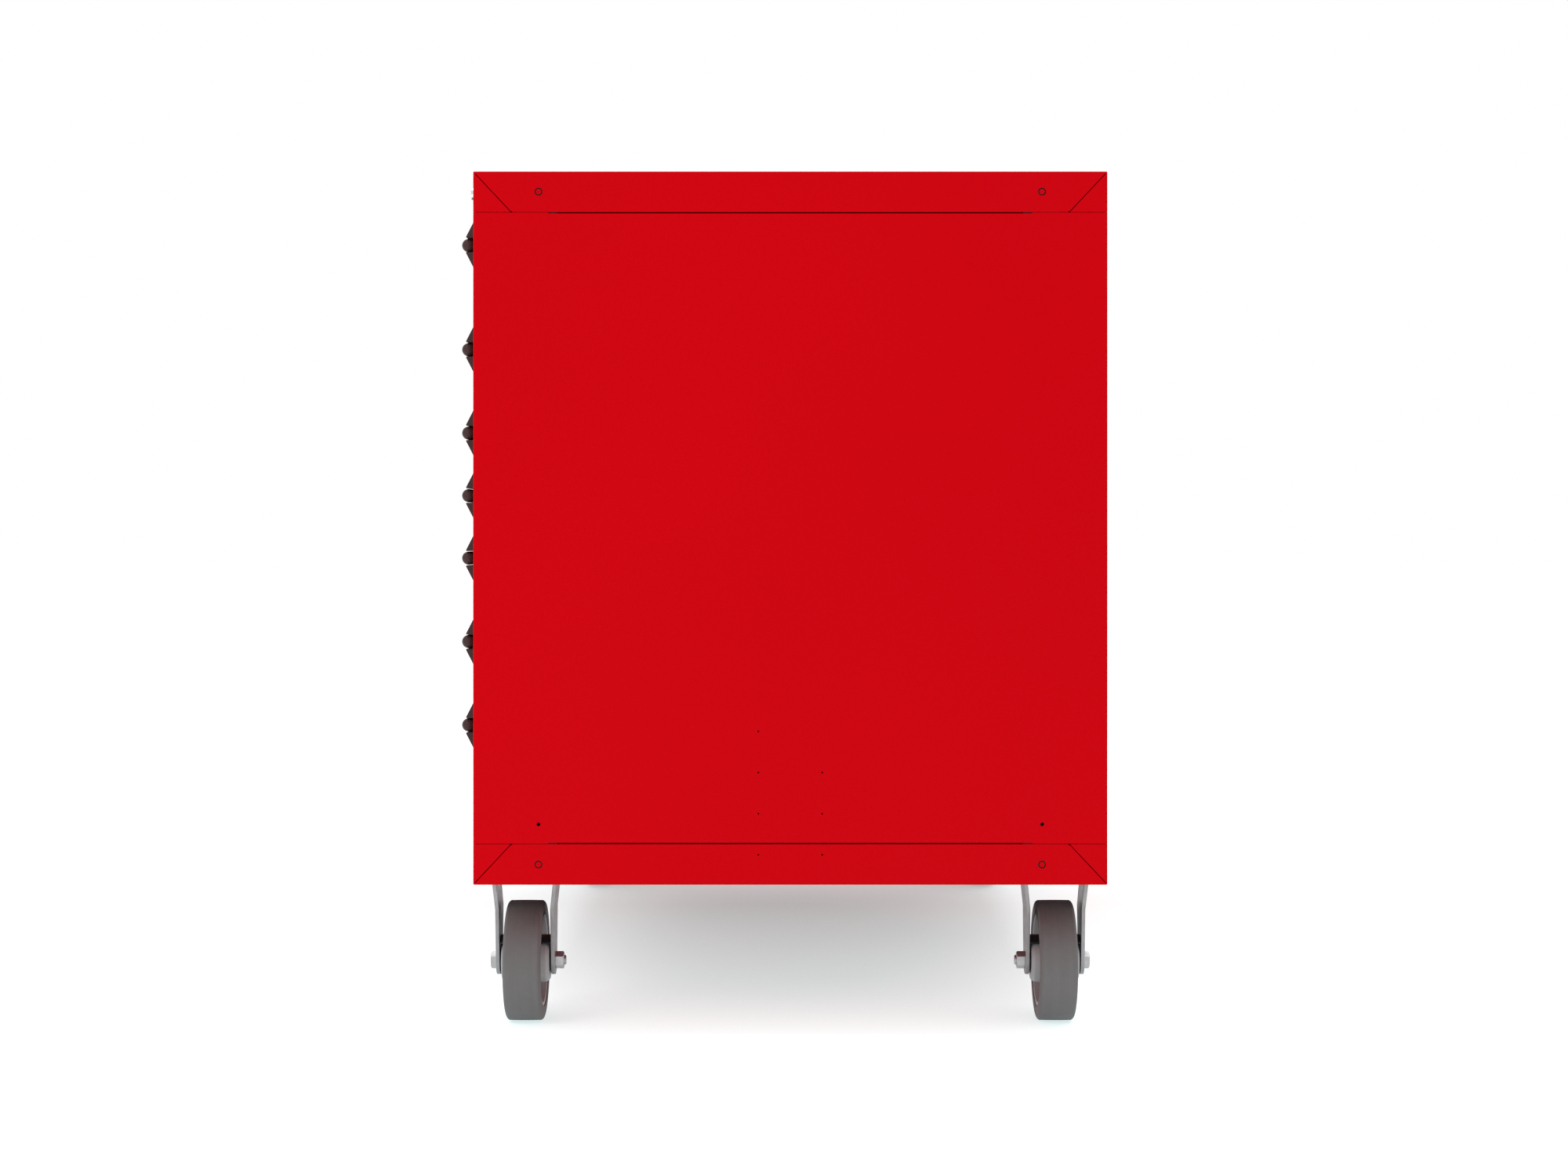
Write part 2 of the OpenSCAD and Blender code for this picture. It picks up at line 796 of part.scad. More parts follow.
module lock_housing() {
    color(chrome) {
        difference() {
            union() {
                rod(lock_x, y_front - flange_t, lock_z, lock_d / 2 + flange_out, flange_t);
                rod(lock_x, y_front - past, lock_z, lock_d / 2, cam_y - y_front + past - fit);
            }
            rod(lock_x, y_front - flange_t - past, lock_z, barrel_d / 2 + running_fit, 2 * lock_d);
        }
        difference() {
            hex_rod(lock_x, y_front + pan_t, lock_z, lock_nut_flats, lock_nut_t);
            rod(lock_x, y_front, lock_z, lock_d / 2 + eps, pan_t + lock_nut_t + past);
        }
    }
}

module lock_barrel() {
    head_y = y_front - lock_out;
    color(chrome)
    difference() {
        union() {
            rod(lock_x, head_y, lock_z, barrel_d / 2 + barrel_rim, lock_out - flange_t - fit);
            rod(lock_x, head_y + past, lock_z, barrel_d / 2, cam_y - head_y);
            rod(lock_x, cam_y, lock_z, cam_r + cam_rim, cam_t);
            rod(lock_x + cam_r * cos(cam_turn), cam_y + cam_t - past, lock_z + cam_r * sin(cam_turn), pin_r,
                past + cam_gap + lock_bar_t + pin_tail);
        }
        block([lock_x - key_slot_half_w, head_y - past, lock_z - key_slot_half_h],
              [lock_x + key_slot_half_w, head_y + key_slot_d, lock_z + key_slot_half_h]);
    }
}

module lock_bar() {
    pin_z = lock_z + cam_r * sin(cam_turn);
    pin_x = lock_x + cam_r * cos(cam_turn);
    lowest = module_top(drawers - 1) - catch_down + lock_lift;
    y1 = tab_y + lock_bar_t;
    color(guard_black)
    difference() {
        union() {
            block([bar_x, tab_y, lowest - bar_foot], [bar_x + lock_bar_w, y1, pin_z + arm_half]);
            block([lock_x - arm_in, tab_y, pin_z - arm_half], [bar_x + lock_bar_w, y1, pin_z + arm_half]);
            for (i = [0 : drawers - 1]) {
                low = module_top(i) - catch_down + lock_lift;
                block([box_half + tab_in, tab_y, low], [bar_x + past, y1, low + catch_h]);
            }
        }
        block([pin_x - pin_r - slot_play, tab_y - past, pin_z - pin_r - pin_play],
              [lock_x + cam_r + pin_r + slot_play, y1 + past, pin_z + pin_r + pin_play]);
    }
}

// ---------- casters ----------

// a point where the line from p touches a circle about the origin, on one side of it
function touch(p, r, side) =
    let (a = atan2(p[1], p[0]) + side * acos(r / norm(p)))
    [r * cos(a), r * sin(a)];

// a leg seen from the side: a round foot about the axle, widening to the top edge
module leg_outline(left, right, high) {
    a = [left, high];
    b = [right, high];
    circle(foot_r);
    polygon([touch(a, foot_r, 1), a, b, touch(b, foot_r, -1)]);
}

// the fork seen along the cabinet: two legs that lean out at the top, and the bridge over the wheel
module fork_outline(top, bridge_t) {
    bend_lo = top - bend_drop;
    bend_hi = top - shoulder_drop;
    bottom = axle_z - foot_r - past;
    inner = fork_gap / 2;
    difference() {
        polygon([
            [-inner - leg_t, bottom], [-inner - leg_t, bend_lo], [-inner - leg_t - leg_lean, bend_hi],
            [-inner - leg_t - leg_lean, top], [inner + leg_t + leg_lean, top],
            [inner + leg_t + leg_lean, bend_hi], [inner + leg_t, bend_lo], [inner + leg_t, bottom]
        ]);
        polygon([
            [-inner, bottom - past], [-inner, bend_lo], [-inner - leg_lean, bend_hi],
            [-inner - leg_lean, top - bridge_t], [inner + leg_lean, top - bridge_t],
            [inner + leg_lean, bend_hi], [inner, bend_lo], [inner, bottom - past]
        ]);
    }
}

// local frame of a caster: its axle bolt's head faces the cabinet's nearest long side
module at_caster(x, row) {
    translate([x, caster_ys[row], 0]) mirror([0, row, 0]) children();
}

module top_plate() {
    difference() {
        block([-plate_l / 2, -plate_w / 2, z_plate], [plate_l / 2, plate_w / 2, z_base]);
        for (a = [-bolt_l / 2, bolt_l / 2])
            for (b = [-bolt_w / 2, bolt_w / 2])
                translate([a, b, z_plate - past]) cylinder(d = bolt_d + fit, h = plate_t + 2 * past);
    }
}

module rigid_caster_forks() {
    color(zinc)
    for (row = [0, 1])
        at_caster(caster_x, row) {
            top_plate();
            difference() {
                intersection() {
                    across(-leg_reach, 2 * leg_reach) fork_outline(z_plate + eps, leg_t);
                    along(-leg_reach, 2 * leg_reach)
                        translate([0, axle_z]) leg_outline(-leg_top, leg_top, z_plate + past - axle_z);
                }
                rod(0, -leg_reach, axle_z, axle_d / 2 + running_fit, 2 * leg_reach);
            }
        }
}

// an axle bolt with its nut, through both legs
module axle_bolt(x) {
    tail = 2.4;
    rod(x, -leg_out - past, axle_z, axle_d / 2, 2 * leg_out + past + axle_nut_t + tail);
    hex_rod(x, -leg_out - axle_head_t, axle_z, axle_flats, axle_head_t);
    difference() {
        hex_rod(x, leg_out, axle_z, axle_flats, axle_nut_t);
        rod(x, leg_out - past, axle_z, axle_d / 2 + running_fit, axle_nut_t + 2 * past);
    }
}

module rigid_caster_axle_bolts() {
    color(zinc)
    for (row = [0, 1])
        at_caster(caster_x, row) axle_bolt(0);
}

// a washer on the axle with a hood that arches over the hub, both against the leg
module thread_guard() {
    guard_t = 1.4;
    wall = 2;
    washer_r = 15;
    hood_in = 6;
    inner_y = hub_half + fit;
    hood_y = wheel_w / 2 - hood_in;
    outer_y = inner_y + guard_t;
    difference() {
        union() {
            rod(0, inner_y, axle_z, washer_r, guard_t);
            intersection() {
                union() {
                    rod(0, inner_y, axle_z, guard_r, guard_t);
                    difference() {
                        rod(0, hood_y, axle_z, guard_r, outer_y - hood_y);
                        rod(0, hood_y - past, axle_z, guard_r - wall, outer_y - hood_y + 2 * past);
                    }
                }
                along(0, fork_gap) translate([0, axle_z]) polygon([
                    [0, 0],
                    2 * guard_r * [-sin(guard_half_angle), cos(guard_half_angle)],
                    2 * guard_r * [sin(guard_half_angle), cos(guard_half_angle)]
                ]);
            }
        }
        rod(0, 0, axle_z, axle_d / 2 + running_fit, fork_gap);
    }
}

module rigid_caster_thread_guards() {
    color(guard_black)
    for (row = [0, 1])
        at_caster(caster_x, row)
            for (s = [0, 1])
                mirror([0, s, 0]) thread_guard();
}

module swivel_caster_plates() {
    color(zinc)
    for (row = [0, 1])
        at_caster(-caster_x, row) {
            top_plate();
            // raceway, king pin and the pin's lower head, riveted to the plate
            head_z = crown_top - crown_t - fit - king_head_t;
            translate([0, 0, crown_top + fit]) cylinder(r = crown_r - race_in, h = race_t - fit + eps);
            translate([0, 0, head_z]) cylinder(r = king_r, h = z_plate - head_z + eps);
            translate([0, 0, head_z]) cylinder(r = king_head_r, h = king_head_t);
        }
}

module swivel_fork(row) {
    top = crown_top - axle_z;
    color(zinc)
    at_caster(-caster_x, row)
    difference() {
        union() {
            intersection() {
                across(-2 * leg_reach, 3 * leg_reach) fork_outline(crown_top, crown_t);
                along(-leg_reach, 2 * leg_reach)
                    translate([-trail, axle_z]) leg_outline(leg_in - crown_r, trail + crown_r - race_in, top);
            }
            translate([0, 0, crown_top - crown_t]) cylinder(r = crown_r, h = crown_t);
        }
        translate([0, 0, crown_top - crown_t - past])
            cylinder(r = king_r + running_fit, h = crown_t + 2 * past);
        rod(-trail, -leg_reach, axle_z, axle_d / 2 + running_fit, 2 * leg_reach);
        rod(pivot[0], -leg_reach, pivot[1], pivot_r, 2 * leg_reach);
    }
}

module swivel_axle_bolt(row) {
    color(zinc) at_caster(-caster_x, row) axle_bolt(-trail);
}

module brake_pedal(row) {
    reach = pedal_tip - pivot;
    angle = atan2(reach[1], reach[0]);
    arm = norm(reach);
    half = pedal_w / 2;
    t = pedal_t;
    shoe_t = 2.3;
    shoe_from = 18;
    shoe_len = 26;
    lip = 6;
    color(guard_black)
    at_caster(-caster_x, row) {
        pin_half = leg_out + leg_lean + pivot_tail;
        rod(pivot[0], -pin_half, pivot[1], pivot_r - running_fit, 2 * pin_half);
        rod(pivot[0], -half, pivot[1], pivot_r + pivot_collar, pedal_w);
        along(-half, pedal_w) translate(pivot) rotate(angle) {
            translate([0, -t / 2]) square([arm, t]);
            // brake shoe, under the arm where it comes down on the tyre
            translate([shoe_from, t / 2 - eps]) square([shoe_len, shoe_t]);
            // raised lip for the foot
            translate([arm - lip, -t / 2 - lip]) square([lip, lip + eps]);
        }
    }
}

module wheel_place(x, row) {
    at_caster(x, row) translate([0, 0, axle_z]) rotate([90, 0, 0]) children();
}

module wheel_core(x, row) {
    rim_t = 6;
    rim_in = 1;
    web_half = 8;
    color(core_grey)
    wheel_place(x, row)
    rotate_extrude($fn = 96) difference() {
        union() {
            translate([rim_r - rim_t, -wheel_w / 2 + rim_in]) square([rim_t, wheel_w - 2 * rim_in]);
            translate([hub_r - past, -web_half]) square([rim_r - hub_r - rim_t + 2 * past, 2 * web_half]);
            polygon([[0, -hub_half], [hub_end_r, -hub_half], [hub_r, -hub_half + hub_taper],
                     [hub_r, hub_half - hub_taper], [hub_end_r, hub_half], [0, hub_half]]);
        }
        translate([0, -hub_half - past]) square([axle_d / 2 + running_fit, 2 * (hub_half + past)]);
    }
}

module wheel_tyre(x, row) {
    color(tyre_grey)
    wheel_place(x, row)
    rotate_extrude($fn = 96) {
        translate([rim_r, -wheel_w / 2]) square([tyre_t - shoulder_r, wheel_w]);
        translate([rim_r, -wheel_w / 2 + shoulder_r]) square([tyre_t, wheel_w - 2 * shoulder_r]);
        for (s = [-1, 1])
            translate([wheel_d / 2 - shoulder_r, s * (wheel_w / 2 - shoulder_r)]) circle(shoulder_r);
    }
}

module caster_bolts() {
    tail = 4;
    nut_z = z_base + pan_t + channel_t;
    shank = nut_z + bolt_nut_t + tail - z_plate;
    color(zinc)
    caster_bolt_places() {
        translate([0, 0, z_plate - bolt_head_t]) cylinder(d = bolt_flats / cos(30), h = bolt_head_t, $fn = 6);
        translate([0, 0, z_plate - past]) cylinder(d = bolt_d, h = shank + past);
        translate([0, 0, nut_z]) difference() {
            cylinder(d = bolt_flats / cos(30), h = bolt_nut_t, $fn = 6);
            translate([0, 0, -past]) cylinder(r = bolt_d / 2 + running_fit, h = bolt_nut_t + 2 * past);
        }
    }
}

// ---------- nodes ----------

base_pan();
top_pan();
side_panel_right();
side_panel_left();
rear_panel();
slide_uprights();
cabinet_slides();
panel_fasteners();
deck_stiffeners();
caster_channels();
caster_bolts();
lock_housing();
lock_barrel();
lock_bar();
for (i = [0 : drawers - 1]) {
    drawer_box(i);
    drawer_handle(i);
    drawer_middle_slides(i);
    drawer_inner_slides(i);
}
rigid_caster_forks();
rigid_caster_axle_bolts();
rigid_caster_thread_guards();
swivel_caster_plates();
swivel_fork(0);  // swivel_fork_front
swivel_fork(1);  // swivel_fork_rear
swivel_axle_bolt(0);  // swivel_axle_bolt_front
swivel_axle_bolt(1);  // swivel_axle_bolt_rear
brake_pedal(0);  // brake_pedal_front
brake_pedal(1);  // brake_pedal_rear
wheel_core(caster_x, 0);  // wheel_core_front_right
wheel_core(caster_x, 1);  // wheel_core_rear_right
wheel_core(-caster_x - trail, 0);  // wheel_core_front_left
wheel_core(-caster_x - trail, 1);  // wheel_core_rear_left
wheel_tyre(caster_x, 0);  // tyre_front_right
wheel_tyre(caster_x, 1);  // tyre_rear_right
wheel_tyre(-caster_x - trail, 0);  // tyre_front_left
wheel_tyre(-caster_x - trail, 1);  // tyre_rear_left
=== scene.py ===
# %% [markdown]
# # A rolling tool chest, finished around its CAD frame
#
# The chest is sheet steel: two folded pans, two side panels and a back, seven drawers with
# full-width handles, and four casters. The CAD frame already has every part at its right size,
# so this lesson adds what a CAD solid lacks: softened folds, moulded and machined shapes, and
# finishes that hold up close.

# %% Load the frame
import json
import math

import bmesh
import bpy
import numpy as np
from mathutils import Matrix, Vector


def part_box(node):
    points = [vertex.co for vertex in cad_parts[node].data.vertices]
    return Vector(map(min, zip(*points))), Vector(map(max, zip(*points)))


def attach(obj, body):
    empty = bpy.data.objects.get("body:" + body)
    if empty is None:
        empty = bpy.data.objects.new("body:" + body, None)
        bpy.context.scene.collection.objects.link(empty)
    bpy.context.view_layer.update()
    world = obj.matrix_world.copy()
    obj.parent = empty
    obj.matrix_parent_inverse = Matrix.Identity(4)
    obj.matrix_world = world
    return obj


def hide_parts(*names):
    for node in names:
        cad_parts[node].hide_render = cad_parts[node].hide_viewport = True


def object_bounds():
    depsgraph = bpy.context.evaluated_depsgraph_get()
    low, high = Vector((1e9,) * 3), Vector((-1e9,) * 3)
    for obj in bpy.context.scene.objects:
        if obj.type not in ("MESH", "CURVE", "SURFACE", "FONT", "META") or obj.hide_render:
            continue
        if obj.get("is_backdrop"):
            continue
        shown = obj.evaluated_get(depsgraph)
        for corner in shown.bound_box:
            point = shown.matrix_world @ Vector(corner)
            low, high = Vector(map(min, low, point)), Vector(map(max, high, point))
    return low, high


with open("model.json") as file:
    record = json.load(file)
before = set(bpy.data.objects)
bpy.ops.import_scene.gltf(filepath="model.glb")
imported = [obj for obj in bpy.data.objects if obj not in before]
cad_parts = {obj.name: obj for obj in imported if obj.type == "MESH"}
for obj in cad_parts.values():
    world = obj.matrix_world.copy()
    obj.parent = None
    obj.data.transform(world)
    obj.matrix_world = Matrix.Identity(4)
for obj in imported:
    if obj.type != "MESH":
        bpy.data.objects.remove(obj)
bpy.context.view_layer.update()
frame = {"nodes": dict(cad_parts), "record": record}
NODES = frame["nodes"]
BODY_OF = {node: body for body, nodes in frame["record"]["behaviour"]["bodies"].items() for node in nodes}
DRAWERS = sorted(int(node.split("_")[1]) for node in NODES if node.endswith("_handle"))
MM = 0.001
MERGE = 0.001 * MM

# %% [markdown]
# ## Building blocks for meshes
#
# A shape here is a grid of points worked out with numpy, either an outline carried along a line
# or a profile turned about an axle. Both give rows of points, so one function can join the rows
# into faces. The mesh is then merged and its faces are turned outwards in one place.

# %% Rows of points to a mesh


def grid_faces(rows, columns, loop_rows):
    """Quads between neighbouring rows. Each row is a closed ring, so its last point joins its first.
    With loop_rows the last row joins the first one too, as in a tyre."""
    i, j = np.meshgrid(np.arange(rows if loop_rows else rows - 1), np.arange(columns), indexing="ij")
    here, there = i * columns, (i + 1) % rows * columns
    after = (j + 1) % columns
    return np.stack([here + j, here + after, there + after, there + j], -1).reshape(-1, 4)


def shell(points, loop_rows=False, caps=False):
    """(vertices, faces) of a grid of points, rows by columns by 3. Caps close the first and last
    row with one flat face each."""
    rows, columns = points.shape[:2]
    faces = grid_faces(rows, columns, loop_rows).tolist()
    if caps:
        faces += [list(range(columns)), list(range((rows - 1) * columns, rows * columns))]
    return points.reshape(-1, 3), faces


def piece(name, shells, body, finish, stands_for=(), sharp=35.0):
    """One object made of closed shells, at the origin, with its place in its vertices."""
    counts = np.cumsum([0] + [len(vertices) for vertices, _ in shells])
    vertices = np.concatenate([vertices for vertices, _ in shells])
    faces = [[start + i for i in face] for start, (_, part) in zip(counts, shells) for face in part]
    mesh = bpy.data.meshes.new(name)
    mesh.from_pydata(vertices.tolist(), [], faces)
    merged = bmesh.new()
    merged.from_mesh(mesh)
    bmesh.ops.remove_doubles(merged, verts=merged.verts, dist=MERGE)
    bmesh.ops.recalc_face_normals(merged, faces=merged.faces)
    merged.to_mesh(mesh)
    merged.free()
    return placed(name, mesh, body, finish, stands_for, sharp)


def placed(name, mesh, body, finish, stands_for, sharp):
    """Puts a finished mesh in the scene: smooth between its sharp edges, riding on its body."""
    mesh.polygons.foreach_set("use_smooth", np.ones(len(mesh.polygons), bool))
    if sharp:
        mesh.set_sharp_from_angle(angle=math.radians(sharp))
    mesh.materials.append(finish)
    obj = bpy.data.objects.new(name, mesh)
    bpy.context.scene.collection.objects.link(obj)
    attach(obj, body)
    if stands_for:
        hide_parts(*stands_for)
    return obj


def even_normals(obj):
    """Lets the large flat faces decide the shading, so that only the bends look round."""
    modifier = obj.modifiers.new("flats stay flat", "WEIGHTED_NORMAL")
    modifier.keep_sharp = True
    modifier.weight = 80


# %% [markdown]
# ## Outlines with rounded corners
#
# Nothing on a real chest has a perfectly sharp corner. An outline is written as its few corner
# points, and every corner is then replaced by an arc that touches both of its sides.

# %% Rounded outlines, carried and turned shapes


def rounded(corners, radius, steps=6):
    """Each corner becomes an arc. The arc's centre lies on the corner's bisector at
    radius / sin(half the corner's angle), and points run round it between the two touching points."""
    corners = np.asarray(corners, float)
    radius = np.broadcast_to(np.asarray(radius, float), len(corners))[:, None]
    before = np.roll(corners, 1, 0) - corners
    after = np.roll(corners, -1, 0) - corners
    before /= np.linalg.norm(before, axis=1, keepdims=True)
    after /= np.linalg.norm(after, axis=1, keepdims=True)
    half = np.arccos(np.clip((before * after).sum(1), -1, 1))[:, None] / 2
    bisector = before + after
    bisector /= np.linalg.norm(bisector, axis=1, keepdims=True)
    centre = corners + bisector * radius / np.sin(half)
    start = corners + before * radius / np.tan(half) - centre
    end = corners + after * radius / np.tan(half) - centre
    turn = np.pi - 2 * half
    s = np.linspace(0, 1, steps)[None, :, None]
    turn = turn[:, None]
    arc = (np.sin((1 - s) * turn) * start[:, None] + np.sin(s * turn) * end[:, None]) / np.sin(turn)
    return (centre[:, None] + arc).reshape(-1, 2)


def shrunk(outline, amount):
    """The outline moved inwards by amount, along the average normal of each point's two sides."""
    side = np.roll(outline, -1, 0) - np.roll(outline, 1, 0)
    normal = np.stack([side[:, 1], -side[:, 0]], 1) / np.linalg.norm(side, axis=1, keepdims=True)
    (u, v), (next_u, next_v) = outline.T, np.roll(outline, -1, 0).T
    turning = np.sum(u * next_v - v * next_u)
    return outline - np.sign(turning) * amount * normal


def carried_along_x(outline, x0, x1, ease, steps=5):
    """An outline of (y, z) points carried from x0 to x1. Near each end it shrinks along a quarter
    circle of radius ease, which rounds the end's edge."""
    a = np.linspace(0, np.pi / 2, steps)
    inset = np.concatenate([ease * (1 - np.sin(a)), ease * (1 - np.sin(a[::-1]))])
    along = np.concatenate([x0 + ease * (1 - np.cos(a)), x1 - ease * (1 - np.cos(a[::-1]))])
    rings = np.stack([shrunk(outline, d) for d in inset])
    x = np.broadcast_to(along[:, None, None], rings.shape[:2] + (1,))
    return shell(np.concatenate([x, rings], -1), caps=True)


def turned_about_y(profile, centre, steps=96, loop=True):
    """A profile of (radius, y) points turned about a line along Y through centre (x, z)."""
    profile = np.asarray(profile, float)
    angle = np.linspace(0, 2 * np.pi, steps, endpoint=False)[None]
    radius, y = profile[:, :1], profile[:, 1:]
    points = [centre[0] + radius * np.cos(angle), y + 0 * angle, centre[1] + radius * np.sin(angle)]
    return shell(np.stack(points, -1), loop_rows=loop)


def turned_about_x(profile, centre, steps=48, loop=False):
    """A profile of (radius, x) points turned about a line along X through centre (y, z)."""
    vertices, faces = turned_about_y(profile, (0, 0), steps, loop)
    x, y, z = vertices.T
    return np.stack([y, centre[0] + x, centre[1] + z], 1), faces


# %% [markdown]
# ## Finishes
#
# Every finish is worked out in the object's own metres, so a grain keeps its real scale on every
# part. A finish here has three layers: a slow drift of tone, a fine change of gloss, and a bump at
# the size of the real surface's texture.

# %% A small kit for writing finishes


class Finish:
    """A material with one Principled shader, and short calls that add noise to it."""

    def __init__(self, name, roughness, metallic=0.0, specular=0.5):
        self.material = bpy.data.materials.new(name)
        self.material.use_nodes = True
        self.tree = self.material.node_tree
        self.shader = next(n for n in self.tree.nodes if n.type == "BSDF_PRINCIPLED")
        self.shader.inputs["Roughness"].default_value = roughness
        self.shader.inputs["Metallic"].default_value = metallic
        self.shader.inputs["Specular IOR Level"].default_value = specular
        self.place = self.tree.nodes.new("ShaderNodeTexCoord").outputs["Object"]

    def add(self, kind, **settings):
        """A new node of this kind, with these settings."""
        node = self.tree.nodes.new(kind)
        for key, value in settings.items():
            setattr(node, key, value)
        return node

    def link(self, a, b):
        """Carries output a into input b."""
        self.tree.links.new(a, b)

    def noise(self, scale, detail=3.0, stretch=(1, 1, 1), roughness=0.5):
        """Noise with scale features to the metre. A stretch above 1 on an axis packs it closer there."""
        mapping = self.add("ShaderNodeMapping")
        mapping.inputs["Scale"].default_value = stretch
        self.link(self.place, mapping.inputs["Vector"])
        noise = self.add("ShaderNodeTexNoise")
        noise.inputs["Scale"].default_value = scale
        noise.inputs["Detail"].default_value = detail
        noise.inputs["Roughness"].default_value = roughness
        self.link(mapping.outputs["Vector"], noise.inputs["Vector"])
        return noise.outputs["Fac"]

    def ramp(self, value, low, high, start=0.35, end=0.65):
        """Colours from low to high as value goes from start to end."""
        ramp = self.add("ShaderNodeValToRGB")
        first, last = ramp.color_ramp.elements
        first.position, last.position = start, end
        first.color, last.color = (*low, 1), (*high, 1)
        self.link(value, ramp.inputs["Fac"])
        return ramp.outputs["Color"]

    def spread(self, value, low, high):
        """A number from low to high as value goes from 0.3 to 0.7."""
        node = self.add("ShaderNodeMapRange")
        for key, number in zip(("From Min", "From Max", "To Min", "To Max"), (0.3, 0.7, low, high)):
            node.inputs[key].default_value = number
        self.link(value, node.inputs["Value"])
        return node.outputs["Result"]

    def mix(self, amount, a, b, blend="MIX"):
        """Colour a blended with colour b by amount, which is a number or an output."""
        node = self.add("ShaderNodeMix", data_type="RGBA", blend_type=blend)
        if isinstance(amount, float):
            node.inputs["Factor"].default_value = amount
        else:
            self.link(amount, node.inputs["Factor"])
        self.link(a, node.inputs["A"])
        self.link(b, node.inputs["B"])
        return node.outputs["Result"]

    def colour(self, output):
        """The output becomes the base colour."""
        self.link(output, self.shader.inputs["Base Color"])

    def gloss(self, output):
        """The output becomes the roughness."""
        self.link(output, self.shader.inputs["Roughness"])

    def bump(self, *layers):
        """Each layer is (height output, depth in metres). The layers stack."""
        normal = None
        for height, depth in layers:
            bump = self.add("ShaderNodeBump")
            bump.inputs["Strength"].default_value = 1.0
            bump.inputs["Distance"].default_value = depth
            self.link(height, bump.inputs["Height"])
            if normal is not None:
                self.link(normal, bump.inputs["Normal"])
            normal = bump.outputs["Normal"]
        self.link(normal, self.shader.inputs["Normal"])


def shade(colour, factor):
    """The colour, lighter or darker by factor."""
    return tuple(channel * factor for channel in colour)


# %% [markdown]
# The red is a baked powder coat. The powder melts and flows into a faint orange peel of hills 2 to
# 4 mm across and a few hundredths of a millimetre high, which only shows where a light glances off
# it. A flat gloss red would look like plastic, so the bump is the finish.

# %% Red powder coat


def red_powder_coat():
    """A slow drift and a fine speckle of tone, with two sizes of orange peel."""
    red = (0.440, 0.0004, 0.0034)
    coat = Finish("red powder coat", 0.36, specular=0.02)
    drift = coat.ramp(coat.noise(1.4, 2.0), shade(red, 0.95), shade(red, 1.04))
    speck = coat.ramp(coat.noise(260.0, 2.0), shade(red, 0.965), shade(red, 1.03))
    coat.colour(coat.mix(0.5, drift, speck))
    coat.gloss(coat.spread(coat.noise(55.0, 4.0), 0.30, 0.44))
    coat.bump((coat.noise(330.0, 1.5), 0.022 * MM), (coat.noise(1500.0, 2.0), 0.006 * MM))
    return coat.material


RED = red_powder_coat()
print("made:", RED.name)

# %% [markdown]
# The handles are extruded aluminium, dyed dark brown. The die leaves fine lines along the length,
# so the noise is stretched along X until it is a bundle of streaks, and the same streaks drive the
# tone, the gloss and the bump.

# %% Dark anodised handles


def dark_anodised():
    """Streaks that run along X, in tone, gloss and height together."""
    brown = (0.046, 0.024, 0.024)
    coat = Finish("dark anodised handle", 0.45, metallic=0.1, specular=0.12)
    lines = coat.noise(6.0, 3.0, stretch=(0.35, 260.0, 260.0))
    tone = coat.ramp(lines, shade(brown, 0.86), shade(brown, 1.18))
    drift = coat.ramp(coat.noise(3.0, 2.0), shade(brown, 0.94), shade(brown, 1.08))
    coat.colour(coat.mix(0.5, tone, drift))
    coat.gloss(coat.spread(lines, 0.34, 0.46))
    coat.bump((lines, 0.010 * MM), (coat.noise(900.0, 2.0), 0.006 * MM))
    return coat.material


HANDLE = dark_anodised()
print("made:", HANDLE.name)

# %% [markdown]
# Zinc plate isn't one grey: it grows as small crystals that catch the light a little differently.
# Cells from a Voronoi pattern stand for them, over a wider cloudiness. The thick fork metal is
# duller than the bolts and the slides. The lock is polished chrome, which has almost no pattern.

# %% Zinc plate and chrome


def zinc_plate(name, level, gloss):
    """Crystal patches 6 mm across over a slow cloudiness. Level is the grey's lightness."""
    grey = (level, level, level * 1.02)
    plate = Finish(name, gloss, metallic=0.85, specular=0.5)
    cells = plate.add("ShaderNodeTexVoronoi")
    cells.inputs["Scale"].default_value = 160.0
    plate.link(plate.place, cells.inputs["Vector"])
    patch = plate.ramp(cells.outputs["Distance"], shade(grey, 0.93), shade(grey, 1.07), 0.0, 0.8)
    drift = plate.ramp(plate.noise(18.0, 4.0), shade(grey, 0.88), shade(grey, 1.10))
    plate.colour(plate.mix(0.5, patch, drift))
    plate.gloss(plate.spread(plate.noise(70.0, 4.0), gloss - 0.08, gloss + 0.10))
    plate.bump((plate.noise(420.0, 3.0), 0.02 * MM))
    return plate.material


def bright_chrome():
    """A mirror whose gloss varies in fine marks, packed closer along Y."""
    grey = (0.70, 0.70, 0.71)
    plate = Finish("lock chrome", 0.14, metallic=1.0)
    plate.colour(plate.ramp(plate.noise(60.0, 3.0), shade(grey, 0.95), shade(grey, 1.04)))
    plate.gloss(plate.spread(plate.noise(300.0, 3.0, stretch=(1, 6, 1)), 0.10, 0.20))
    plate.bump((plate.noise(900.0, 2.0), 0.003 * MM))
    return plate.material


CHROME = bright_chrome()
ZINC, FORK_METAL = zinc_plate("bright zinc plate", 0.34, 0.28), zinc_plate("dull zinc plate", 0.27, 0.44)
print("made:", CHROME.name, ZINC.name, FORK_METAL.name)

# %% [markdown]
# The wheel is two moulded greys. The core is hard plastic with a fine spark-eroded grain. The tyre
# is softer and duller, streaked round its tread where it rolls and scuffed all over.

# %% Moulded core and rubber tyre


